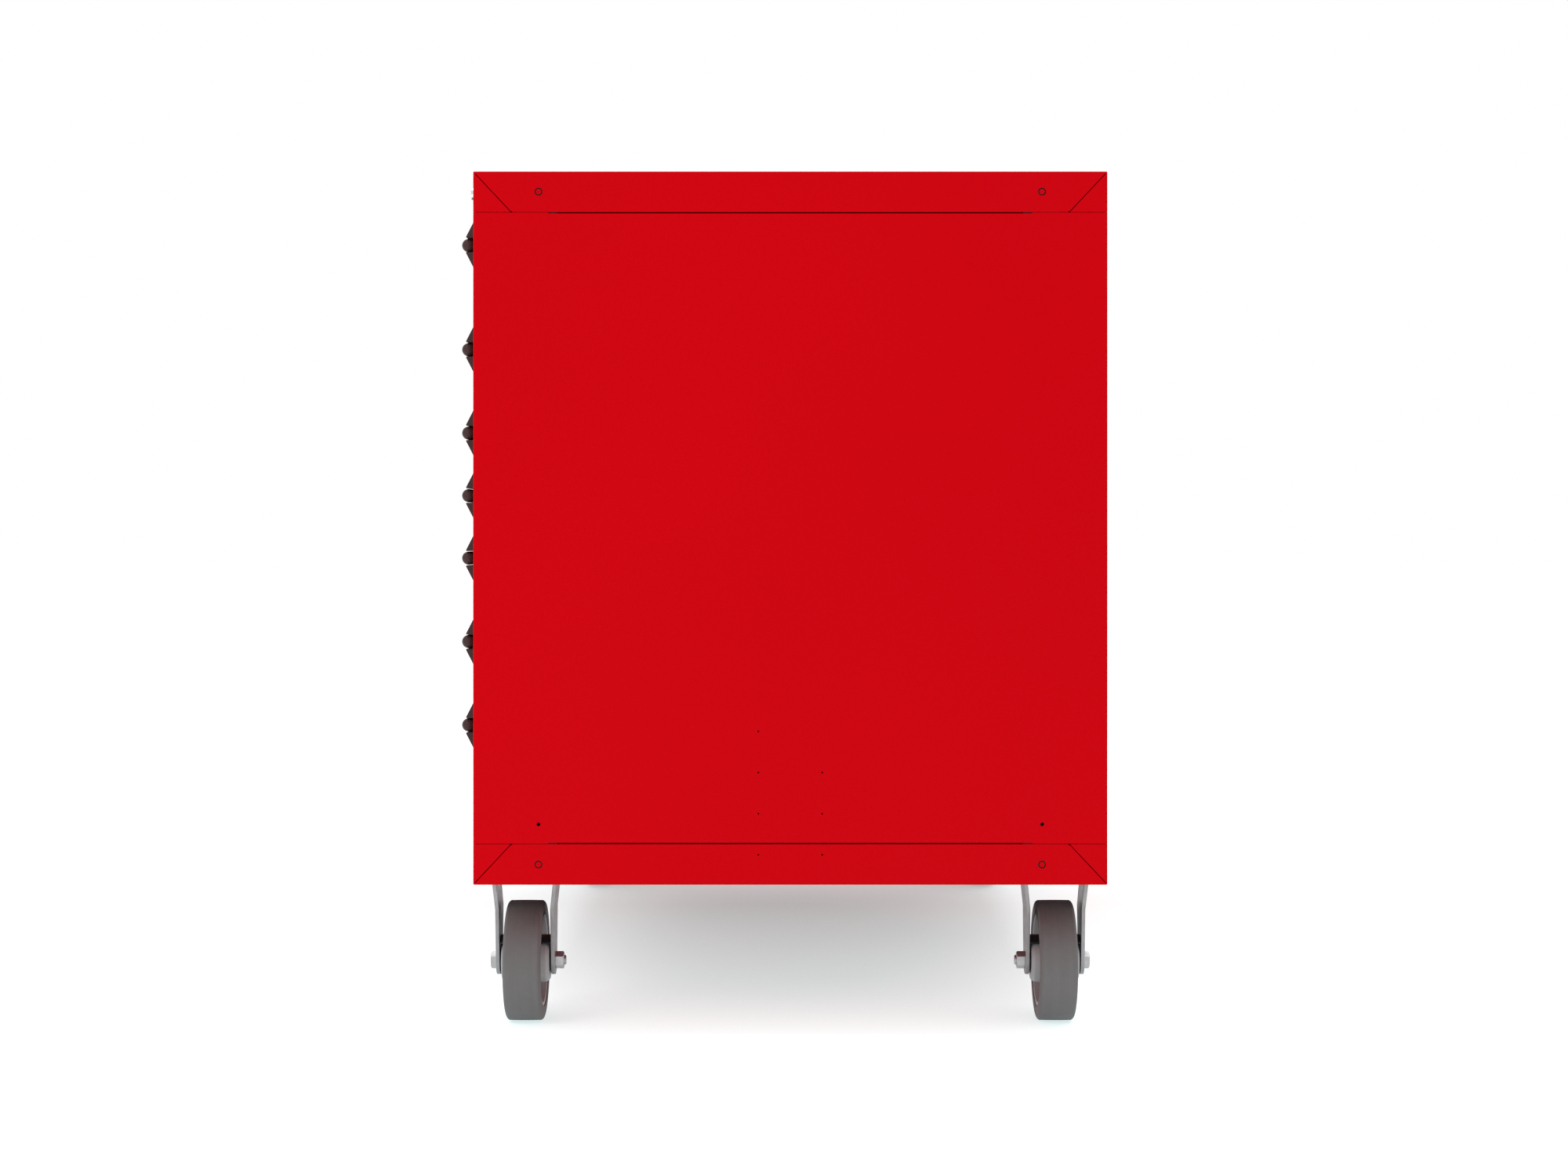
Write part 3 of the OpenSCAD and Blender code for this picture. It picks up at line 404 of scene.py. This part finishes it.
def moulded_grey():
    """A slow drift of tone over a fine grain."""
    grey = (0.300, 0.300, 0.305)
    plastic = Finish("moulded grey core", 0.5, specular=0.35)
    drift = plastic.ramp(plastic.noise(22.0, 3.0), shade(grey, 0.92), shade(grey, 1.07))
    grain = plastic.ramp(plastic.noise(700.0, 2.0), shade(grey, 0.97), shade(grey, 1.03))
    plastic.colour(plastic.mix(0.5, drift, grain))
    plastic.gloss(plastic.spread(plastic.noise(90.0, 3.0), 0.42, 0.58))
    plastic.bump((plastic.noise(650.0, 2.0), 0.03 * MM))
    return plastic.material


def grey_rubber():
    """Streaks that are thin across the tread, mixed with scuffs."""
    grey = (0.122, 0.117, 0.118)
    rubber = Finish("grey tyre rubber", 0.72, specular=0.25)
    bands = rubber.noise(4.0, 3.0, stretch=(1, 45.0, 1))
    streaks = rubber.ramp(bands, shade(grey, 0.94), shade(grey, 1.06))
    scuffs = rubber.ramp(rubber.noise(120.0, 5.0, roughness=0.65), shade(grey, 0.93), shade(grey, 1.05))
    rubber.colour(rubber.mix(0.45, streaks, scuffs))
    rubber.gloss(rubber.spread(rubber.noise(60.0, 3.0), 0.62, 0.80))
    ripple = rubber.noise(8.0, 2.0, stretch=(1, 40.0, 1))
    rubber.bump((rubber.noise(900.0, 3.0), 0.05 * MM), (ripple, 0.06 * MM))
    return rubber.material


CORE, RUBBER = moulded_grey(), grey_rubber()
print("made:", CORE.name, RUBBER.name)

# %% [markdown]
# The blacks are the thread guards, which are moulded, and the pedals, the uprights and the lock
# bar, which are painted. They differ in gloss and in the size of the grain, so one function makes
# both.

# %% Blacks, and which finish each slot takes


def black_enamel(name, roughness, grain, specular=0.4):
    """A near black with grain features to the metre, and an uneven gloss about roughness."""
    black = (0.013, 0.013, 0.014)
    coat = Finish(name, roughness, specular=specular)
    coat.colour(coat.ramp(coat.noise(40.0, 3.0), shade(black, 0.8), shade(black, 1.25)))
    coat.gloss(coat.spread(coat.noise(120.0, 3.0), roughness - 0.08, roughness + 0.08))
    coat.bump((coat.noise(grain, 2.0), 0.04 * MM))
    return coat.material


GUARD = black_enamel("black moulded guard", 0.5, 700.0)
ENAMEL = black_enamel("black enamel", 0.5, 380.0, specular=0.12)
FINISH = {
    "red powder coat": RED, "dark handle": HANDLE, "zinc plate": ZINC, "lock chrome": CHROME,
    "grey wheel core": CORE, "dark grey tyre": RUBBER, "black guard": GUARD, "black enamel": ENAMEL,
}
SLOT_OF = {row["node"]: row["material_slot"] for row in frame["record"]["subparts"]}
print("finishes:", len(FINISH))

# %% [markdown]
# ## Folded sheet metal
#
# A press brake leaves a bend as wide as the sheet is thick, and a punched edge is only slightly
# broken. The CAD sheets are exact but sharp, so each is copied and merged, its flat triangles are
# dissolved back into whole faces, and a weighted bevel rounds the folds more than the cut edges.

# %% Softened copies of the sheet parts

FLAT, STILL_SHARP, CORNER = math.radians(0.6), math.radians(35), math.radians(40)


def softened(node, slot, cut, fold=None, fold_edges=None, shortest=4 * MM, steps=2, finish=None):
    """A copy of a CAD node whose long sharp edges are rounded: by cut, or by fold where fold_edges,
    a function of the edges' middles, says that the edge is a fold."""
    copy = bmesh.new()
    copy.from_mesh(NODES[node].data)
    bmesh.ops.remove_doubles(copy, verts=copy.verts, dist=2 * MERGE)
    bmesh.ops.dissolve_limit(copy, angle_limit=FLAT, verts=copy.verts, edges=copy.edges)
    copy.normal_update()
    mesh = bpy.data.meshes.new(node + "_shape")
    copy.to_mesh(mesh)
    angle = np.array([edge.calc_face_angle(0.0) for edge in copy.edges])
    copy.free()
    if "custom_normal" in mesh.attributes:
        mesh.attributes.remove(mesh.attributes["custom_normal"])
    ends = np.zeros(2 * len(mesh.edges), int)
    mesh.edges.foreach_get("vertices", ends)
    places = np.zeros(3 * len(mesh.vertices))
    mesh.vertices.foreach_get("co", places)
    a, b = places.reshape(-1, 3)[ends.reshape(-1, 2)].transpose(1, 0, 2)
    length = np.linalg.norm(b - a, axis=1)
    widest = fold or cut
    corner = angle > CORNER
    weight = np.where(corner & (length > shortest), cut / widest, 0.0)
    if fold_edges is not None:
        weight[corner & fold_edges((a + b) / 2)] = 1.0
    mesh.attributes.new("bevel_weight_edge", "FLOAT", "EDGE").data.foreach_set("value", weight)
    mesh.materials.clear()
    obj = placed(node + "_sheet", mesh, BODY_OF[node], finish or FINISH[slot], (node,), None)
    sharp = (angle > STILL_SHARP) & (weight == 0)
    mesh.attributes.new("sharp_edge", "BOOLEAN", "EDGE").data.foreach_set("value", sharp)
    bevel = obj.modifiers.new("softened edges", "BEVEL")
    bevel.limit_method = "WEIGHT"
    bevel.width, bevel.segments, bevel.use_clamp_overlap = widest, steps, False
    even_normals(obj)
    return obj


BODY_LOW, BODY_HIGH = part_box("base_pan")[0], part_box("top_pan")[1]
NEAR, BEND = 0.3 * MM, 2.6 * MM


def on_outer_edge(middle):
    """True where an edge lies on the cabinet's outer top or bottom border, which is a fold."""
    half_x, half_y = BODY_HIGH.x, (BODY_HIGH.y - BODY_LOW.y) / 2
    x, y = np.abs(middle[:, 0]), np.abs(middle[:, 1] - (BODY_HIGH.y + BODY_LOW.y) / 2)
    outside = (x > half_x - BEND) & (y > half_y - BEND) | (x > half_x - NEAR) | (y > half_y - NEAR)
    level = (np.abs(middle[:, 2] - BODY_HIGH.z) < NEAR) | (np.abs(middle[:, 2] - BODY_LOW.z) < NEAR)
    return outside & level


for pan in ("base_pan", "top_pan"):
    softened(pan, "red powder coat", 0.2 * MM, 0.9 * MM, on_outer_edge, shortest=6 * MM, steps=3)
for side in ("right", "left"):
    softened(f"side_panel_{side}", "red powder coat", 0.25 * MM, shortest=6 * MM)
for node in ("rear_panel", "deck_stiffeners", "caster_channels"):
    softened(node, "red powder coat", 0.25 * MM, shortest=6 * MM)

# %% [markdown]
# Each drawer front is a shallow pan: its four edges are folded back, so they're round and the
# gaps between fronts read as soft dark lines. The tray behind it is thinner and has cut edges.

# %% Drawer boxes


def front_folds(middle):
    """True where an edge lies in the plane of the drawer fronts, which is where the sheet folds."""
    return np.abs(middle[:, 1] - BODY_LOW.y) < NEAR


for number in DRAWERS:
    softened(f"drawer_{number}_box", "red powder coat", 0.2 * MM, 1.3 * MM, front_folds, steps=3)

# %% [markdown]
# ## Drawer handles
#
# A handle is one extrusion: a wing above and a wing below, and a round bar held between them, with
# a domed end. From the side it is a ball between two wedges. It could be bevelled out of the CAD
# solid, but an extrusion is exactly an outline carried along a line, so it is written as that.

# %% One rounded outline, carried across every drawer


def handle_outline(low, high, face_y, lip, wing_gap, base_t):
    """(y, z) of both wings: flat against the drawer, up the inner face of each wing, and down its
    slope. The channel between the wings is open toward the front."""
    middle, half = (low + high) / 2, (high - low) / 2
    tip = face_y - lip
    return [
        (face_y, middle + half), (face_y, middle - half), (tip, middle - wing_gap),
        (face_y - base_t, middle - wing_gap), (face_y - base_t, middle + wing_gap),
        (tip, middle + wing_gap),
    ]


def bar_profile(x0, x1, radius, steps=14):
    """(radius, x) of a round bar with a full dome at each end: a half circle, a line, a half circle."""
    a = np.linspace(0, np.pi / 2, steps)
    left = np.stack([radius * np.sin(a), x0 + radius * (1 - np.cos(a))], 1)
    right = np.stack([radius * np.sin(a[::-1]), x1 - radius * (1 - np.cos(a[::-1]))], 1)
    return np.concatenate([left, right])


WING_LIP, WING_GAP, BASE_T, BAR_R = 12.5 * MM, 8.7 * MM, 2.0 * MM, 8.1 * MM
WING_CORNERS = np.array([0.25, 0.25, 1.1, 0.6, 0.6, 1.1]) * MM
END_EASE = 0.8 * MM
for number in DRAWERS:
    low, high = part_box(f"drawer_{number}_handle")
    face_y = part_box(f"drawer_{number}_box")[0].y
    corners = handle_outline(low.z, high.z, face_y, WING_LIP, WING_GAP, BASE_T)
    outline = rounded(corners, WING_CORNERS)
    bar = bar_profile(low.x, high.x, BAR_R)
    bar_y = low.y + BAR_R
    wings = carried_along_x(outline, low.x, high.x, END_EASE)
    piece(
        f"drawer_{number}_handle_extrusion",
        [wings, turned_about_x(bar, (bar_y, (low.z + high.z) / 2))],
        f"drawer_{number}", HANDLE, (f"drawer_{number}_handle",), sharp=50.0)
print("handle:", [round((high - low)[k] / MM, 1) for k in range(3)], "mm")

# %% [markdown]
# ## Wheels
#
# The tyre is grey rubber moulded onto a plastic core. Both are turned shapes. The tread has a very
# slight crown, and the core has a rim lip, a thin web and a stout hub with a short taper at each
# end.

# %% Tyres and cores


def tyre_profile(radius, half, depth, shoulder=5.0 * MM, steps=8):
    """(radius, y) round a tyre's section: bead, sidewall that dips in a little, round shoulder, and
    a tread that is crowned as the square of the distance from its middle."""
    a = np.linspace(0, np.pi / 2, steps)
    bead = radius - depth
    side = np.linspace(bead, radius - shoulder, 8)
    dip = 0.5 * MM * np.sin(np.pi * (side - bead) / (radius - shoulder - bead))
    wall = np.stack([side, -half + dip], 1)
    round_edge = np.stack([radius - shoulder * (1 - np.sin(a)), -half + shoulder * (1 - np.cos(a))], 1)
    crown = 0.25 * MM
    across = np.linspace(-half + shoulder + 3 * MM, -0.5 * MM, 5)
    rise = radius - crown * (across / (half - shoulder)) ** 2
    tread = np.stack([rise, across], 1)
    lower = np.concatenate([wall, round_edge[1:-1], [[radius - crown, -half + shoulder]], tread])
    return np.concatenate([lower, lower[::-1] * (1, -1)])


def core_profile(rim, half, hub_half, hub, hub_end, taper, bore, steps=5):
    """(radius, y) round a core's section: hub face, taper, web, rim lip and rim, then mirrored."""
    rim_t, web = 5.5 * MM, 7.0 * MM
    corners = [
        (bore, -hub_half), (hub_end, -hub_half), (hub, -hub_half + taper), (hub + 1.5 * MM, -web),
        (rim - rim_t - 1.5 * MM, -web), (rim - rim_t, -half), (rim, -half),
    ]
    corners = np.array(corners + [(r, -y) for r, y in corners[::-1]])
    radii = np.array([0.5, 1.2, 1.5, 3.0, 3.0, 1.0, 0.8])
    return rounded(corners, np.concatenate([radii, radii[::-1]]) * MM, steps)


HUB_R, HUB_END_R, HUB_TAPER, BORE_R = 27 * MM, 24 * MM, 4 * MM, 6.05 * MM
RIM_SETBACK = 1 * MM
SIDES = [(row, end) for row in ("front", "rear") for end in ("right", "left")]
for row, end in SIDES:
    low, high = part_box(f"tyre_{row}_{end}")
    core_low, core_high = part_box(f"wheel_core_{row}_{end}")
    middle = (low + high) / 2
    radius, half = (high.z - low.z) / 2, (high.y - low.y) / 2
    rim = (core_high.z - core_low.z) / 2
    tyre = tyre_profile(radius, half, radius - rim) + (0, middle.y)
    hub_half = (core_high.y - core_low.y) / 2
    core = core_profile(rim, half - RIM_SETBACK, hub_half, HUB_R, HUB_END_R, HUB_TAPER, BORE_R)
    place = (middle.x, middle.z)
    body = BODY_OF[f"tyre_{row}_{end}"]
    piece(f"tyre_{row}_{end}_moulding", [turned_about_y(tyre, place, 128)],
          body, RUBBER, (f"tyre_{row}_{end}",))
    piece(f"wheel_core_{row}_{end}_moulding", [turned_about_y(core + (0, middle.y), place, 96)],
          body, CORE, (f"wheel_core_{row}_{end}",))
print("wheel:", round(2 * radius / MM), "mm across,", round(2 * half / MM), "mm wide")

# %% [markdown]
# ## Fork metal and bolts
#
# Forks and plates are thick zinc-plated steel with blunt edges, so they're softened copies with a
# wider bevel. The pedals are rounded like the plates, and the guards and the lock bar more finely.

# %% Forks, plates, guards and pedals

for node in ("rigid_caster_forks", "swivel_fork_front", "swivel_fork_rear"):
    softened(node, "zinc plate", 0.7 * MM, shortest=1.5 * MM, steps=3, finish=FORK_METAL)
softened("swivel_caster_plates", "zinc plate", 0.5 * MM, shortest=1.5 * MM, finish=FORK_METAL)
softened("rigid_caster_thread_guards", "black guard", 0.3 * MM, shortest=1.5 * MM)
for row in ("front", "rear"):
    softened(f"brake_pedal_{row}", "black enamel", 0.5 * MM, shortest=1.5 * MM)
softened("lock_bar", "black enamel", 0.3 * MM)

# %% [markdown]
# A bolt head is a hexagon whose corners are turned off in a lathe: where the cone meets each flat
# it leaves the curved scallops that make a hexagon read as a bolt. A bevel on the CAD's hexagon
# would follow its sides, not the cone. So each head is a stack of rings: the hexagon's own radius
# at the bottom, the same radius lowered by the cone, and a round top.

# %% Bolts turned and chamfered


def hexagon_radius(angle, flats):
    """Distance from the centre to a hexagon's side: half the width across flats over the cosine of
    the angle from the nearest flat's middle. Corners point up and down."""
    from_flat = (angle + np.pi / 6) % (np.pi / 3) - np.pi / 6
    return flats / 2 / np.cos(from_flat)


def hex_head(x, z, y0, y1, flats, steps=72):
    """A hexagonal head from y0, against the part, to y1. The outer edge follows a 30 degree cone, so
    its height drops toward the corners."""
    angle = np.linspace(0, 2 * np.pi, steps, endpoint=False)
    outward = np.sign(y1 - y0)
    side = hexagon_radius(angle, flats)
    top = flats / 2 * 0.96
    drop = (side - top) * math.tan(math.radians(30))
    rings = [
        (0 * side, y0), (side, y0), (side, y1 - outward * drop), (0 * side + top, y1),
        (0 * side + top * 0.5, y1), (0 * side, y1),
    ]
    points = [
        np.stack([x + r * np.cos(angle), y + 0 * angle, z + r * np.sin(angle)], -1)
        for r, y in rings
    ]
    return shell(np.stack(points))


def turned_pin(x, z, y0, y1, radius, chamfer=0.8 * MM):
    """A round pin from y0 to y1 with a chamfered end."""
    outward = np.sign(y1 - y0)
    profile = [(0, y0), (radius, y0), (radius, y1 - outward * chamfer), (radius - chamfer, y1), (0, y1)]
    return turned_about_y(profile, (x, z), 36, loop=False)


FLATS, BOLT_R, HEAD_T, NUT_T, TAIL = 19.0 * MM, 6.0 * MM, 7.5 * MM, 10.6 * MM, 2.4 * MM


def axle_bolt(x, z, low_y, high_y, head_low):
    """Head, pin and nut between the two ends of the CAD bolt."""
    head_y, tail_y, way = (low_y, high_y, 1) if head_low else (high_y, low_y, -1)
    shoulder = head_y + way * HEAD_T
    nut_out, nut_in = tail_y - way * TAIL, tail_y - way * (TAIL + NUT_T)
    return [
        hex_head(x, z, shoulder, head_y, FLATS),
        turned_pin(x, z, shoulder, tail_y, BOLT_R),
        hex_head(x, z, nut_in, nut_out, FLATS),
    ]


low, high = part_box("rigid_caster_axle_bolts")
x, z = (low.x + high.x) / 2, (low.z + high.z) / 2
front, rear = (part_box(f"tyre_{row}_right") for row in ("front", "rear"))
front_y, rear_y = (front[0].y + front[1].y) / 2, (rear[0].y + rear[1].y) / 2
nut_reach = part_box("swivel_axle_bolt_front")[1].y - front_y
front_bolt = axle_bolt(x, z, low.y, front_y + nut_reach, True)
rear_bolt = axle_bolt(x, z, rear_y - nut_reach, high.y, False)
piece("rigid_caster_axle_bolts_turned", front_bolt + rear_bolt,
      BODY_OF["rigid_caster_axle_bolts"], ZINC, ("rigid_caster_axle_bolts",))
for row in ("front", "rear"):
    low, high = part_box(f"swivel_axle_bolt_{row}")
    piece(f"swivel_axle_bolt_{row}_turned",
          axle_bolt((low.x + high.x) / 2, (low.z + high.z) / 2, low.y, high.y, row == "front"),
          BODY_OF[f"swivel_axle_bolt_{row}"], ZINC, (f"swivel_axle_bolt_{row}",))
print("axle bolts span", round((high.y - low.y) / MM), "mm")

# %% [markdown]
# ## Lock and fasteners
#
# The lock is a chromed ring with a turning barrel, and a key slot is cut in the barrel's face. The
# flush fasteners are small red heads that sit in larger punched holes, so each shows as a red dot
# in a dark ring.

# %% Lock and flush fasteners

for node in ("lock_housing", "lock_barrel"):
    softened(node, "lock chrome", 0.35 * MM, shortest=0.4 * MM)


def flush_head(radius, thick, shank, shank_r):
    """(radius, height) of a flush head: a shallow dish in a softly rounded rim, and its shank."""
    dish, brow, rim = 0.35 * MM, 0.05 * MM, 0.3 * MM
    return np.array([
        (0, -dish), (0.30 * radius, -dish), (0.42 * radius, -brow), (0.86 * radius, 0),
        (radius, -rim), (radius, -thick), (shank_r, -thick), (shank_r, -shank), (0, -shank),
    ])


def fastener_places():
    """The lowest and highest corner of each CAD fastener, found by grouping joined vertices."""
    copy = bmesh.new()
    copy.from_mesh(NODES["panel_fasteners"].data)
    bmesh.ops.remove_doubles(copy, verts=copy.verts, dist=2 * MERGE)
    places, seen = [], set()
    for vertex in copy.verts:
        if vertex in seen:
            continue
        group, edge_of = {vertex}, [vertex]
        while edge_of:
            for edge in edge_of.pop().link_edges:
                for other in edge.verts:
                    if other not in group:
                        group.add(other)
                        edge_of.append(other)
        seen |= group
        corners = np.array([v.co for v in group])
        places.append((corners.min(0), corners.max(0)))
    copy.free()
    return places


HEAD_THICK = 2 * MM
heads = []
for low, high in fastener_places():
    middle, size = (low + high) / 2, high - low
    axis = int(np.argmin(np.abs(size - size.max())))
    radius = np.delete(size, axis).max() / 2
    profile = flush_head(radius, HEAD_THICK, size[axis], radius / 2)
    outer = high[axis] if middle[axis] > 0 else low[axis]
    profile[:, 1] = outer + np.sign(middle[axis]) * profile[:, 1]
    heads.append(turned_about_x(profile, (middle[1], middle[2]), 28) if axis == 0
                 else turned_about_y(profile, (middle[0], middle[2]), 28, loop=False))
piece("panel_fasteners_pressed", heads, "cabinet", RED, ("panel_fasteners",))
print("fasteners:", len(heads))

# %% [markdown]
# ## Parts that keep their CAD shape
#
# Slides, uprights and plate bolts are plain folded strip and stock bolts that already have their
# real shape, so they only take their finish.

# %% Finishes for the CAD parts that still show

for node, obj in NODES.items():
    slot = SLOT_OF.get(node)
    if not obj.hide_render:
        obj.data.materials.clear()
        obj.data.materials.append(FINISH[slot])
print("CAD parts shown:", sorted(node for node, obj in NODES.items() if not obj.hide_render))

# %% [markdown]
# ## Floor, light and camera
#
# A pale floor under an even white sky gives the flat, shadow-soft look of a studio: the strong shade is
# where the chest keeps the sky off the floor, and a painted glow in the floor, set below, lightens that
# shade. One large panel overhead and one beside the camera give the rounded parts a highlight.

# %% Studio


def area_light(name, place, target, size, watts):
    """A square soft light at place, aimed at target."""
    light = bpy.data.lights.new(name, "AREA")
    light.shape, light.size, light.energy = "SQUARE", size, watts
    obj = bpy.data.objects.new(name, light)
    bpy.context.scene.collection.objects.link(obj)
    obj.location = place
    way = np.array(target, float) - np.array(place, float)
    tilt = math.acos(-way[2] / np.linalg.norm(way))
    obj.rotation_euler = (tilt, 0, math.atan2(way[0], -way[1]) + math.pi)
    return obj


world = bpy.data.worlds.new("white studio")
world.use_nodes = True
sky = next(n for n in world.node_tree.nodes if n.type == "BACKGROUND")
sky.inputs["Color"].default_value = (1.0, 1.0, 1.0, 1)
sky.inputs["Strength"].default_value = 1.0
bpy.context.scene.world = world
area_light("overhead panel", place=(0.0, 0.0, 5.0), target=(0, 0, 0.5), size=4.0, watts=160)
area_light("camera side panel", place=(3.6, -2.6, 2.6), target=(0, 0, 0.6), size=1.6, watts=30)

# %% [markdown]
# A red chest throws red light on a pale floor, and strong studio lamps would drown it. Here the floor
# glows a little instead, and this glow is painted light. It has less red under the chest, to cancel the
# red light that falls there. It also grows toward the camera, which paints the chest's shade on the floor
# lighter toward its near side. Both are gradients measured in the floor's own metres.

# %% Pale floor with a painted glow

FLOOR_HALF, FLOOR_GLOW = 40.0, 0.70
corners = [(-FLOOR_HALF, -FLOOR_HALF, 0), (FLOOR_HALF, -FLOOR_HALF, 0),
           (FLOOR_HALF, FLOOR_HALF, 0), (-FLOOR_HALF, FLOOR_HALF, 0)]
floor_mesh = bpy.data.meshes.new("floor")
floor_mesh.from_pydata(corners, [], [(0, 1, 2, 3)])
floor = bpy.data.objects.new("floor", floor_mesh)
bpy.context.scene.collection.objects.link(floor)
paint = Finish("pale floor with painted glow", 0.9, specular=0.0)
# The base colour is a touch less red than grey. This is painted, to cancel the red light that the chest
# throws on the floor.
paint.colour(paint.ramp(paint.noise(2.0, 2.0), (0.618, 0.632, 0.632), (0.640, 0.652, 0.652)))


def floor_gradient(kind, scale, shift):
    """A gradient over the floor, 0 to 1. Its place is the floor's, times scale, plus shift."""
    reach = paint.add("ShaderNodeMapping")
    reach.inputs["Scale"].default_value = scale
    reach.inputs["Location"].default_value = shift
    gradient = paint.add("ShaderNodeTexGradient", gradient_type=kind)
    paint.link(paint.place, reach.inputs["Vector"])
    paint.link(reach.outputs["Vector"], gradient.inputs["Vector"])
    return gradient.outputs["Fac"]


WHITE, LESS_RED, DIM = (1.0, 1.0, 1.0), (0.62, 0.92, 0.92), (0.56, 0.56, 0.56)
POOL_LONG, POOL_DEEP = 1.3, 0.8
RISE_LONG, RISE_AT_MIDDLE = 0.9, 0.44
# Painted light: the glow is less red under the chest and brighter toward the camera, where it lightens
# the chest's shade on the floor.
painted_glow_pool = floor_gradient("SPHERICAL", (1 / POOL_LONG, 1 / POOL_DEEP, 1), (0, 0, 0))
camera_side = floor_gradient("LINEAR", (1 / RISE_LONG, 1, 1), (RISE_AT_MIDDLE, 0, 0))
painted_glow_against_red_bounce = paint.ramp(painted_glow_pool, WHITE, LESS_RED, 0.04, 0.72)
painted_glow_toward_camera = paint.ramp(camera_side, DIM, WHITE, 0.0, 1.0)
paint.link(paint.mix(1.0, painted_glow_against_red_bounce, painted_glow_toward_camera, "MULTIPLY"), paint.shader.inputs["Emission Color"])
paint.shader.inputs["Emission Strength"].default_value = FLOOR_GLOW
floor_mesh.materials.append(paint.material)
floor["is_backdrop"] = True
print("floor:", 2 * FLOOR_HALF, "m square")

# %% [markdown]
# The camera stands square to the chest's right end, a little over half the chest's height, with a
# moderate lens. A small downward shift keeps the verticals upright while the casters stay in view.

# %% Camera

LENS, SENSOR = 59.2, 36.0
CAMERA_BACK, CAMERA_UP = 3.108, 0.614
SHIFT_SIDE, SHIFT_UP = -0.004, -0.035
camera_data = bpy.data.cameras.new("camera")
camera_data.lens, camera_data.sensor_width = LENS, SENSOR
camera_data.shift_x, camera_data.shift_y = SHIFT_SIDE, SHIFT_UP
camera = bpy.data.objects.new("camera", camera_data)
camera.location = (BODY_HIGH.x + CAMERA_BACK, (BODY_LOW.y + BODY_HIGH.y) / 2, CAMERA_UP)
camera.rotation_euler = (math.pi / 2, 0, math.pi / 2)
bpy.context.scene.collection.objects.link(camera)
bpy.context.scene.camera = camera
bpy.context.scene.view_settings.view_transform = "Standard"
print("camera:", [round(v, 3) for v in camera.location])

# %% [markdown]
# The softened and rebuilt parts must not be larger than the CAD parts that they stand for. Here the box
# round every shown part, the floor left out, is worked out.

# %% Size of what is shown

low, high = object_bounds()
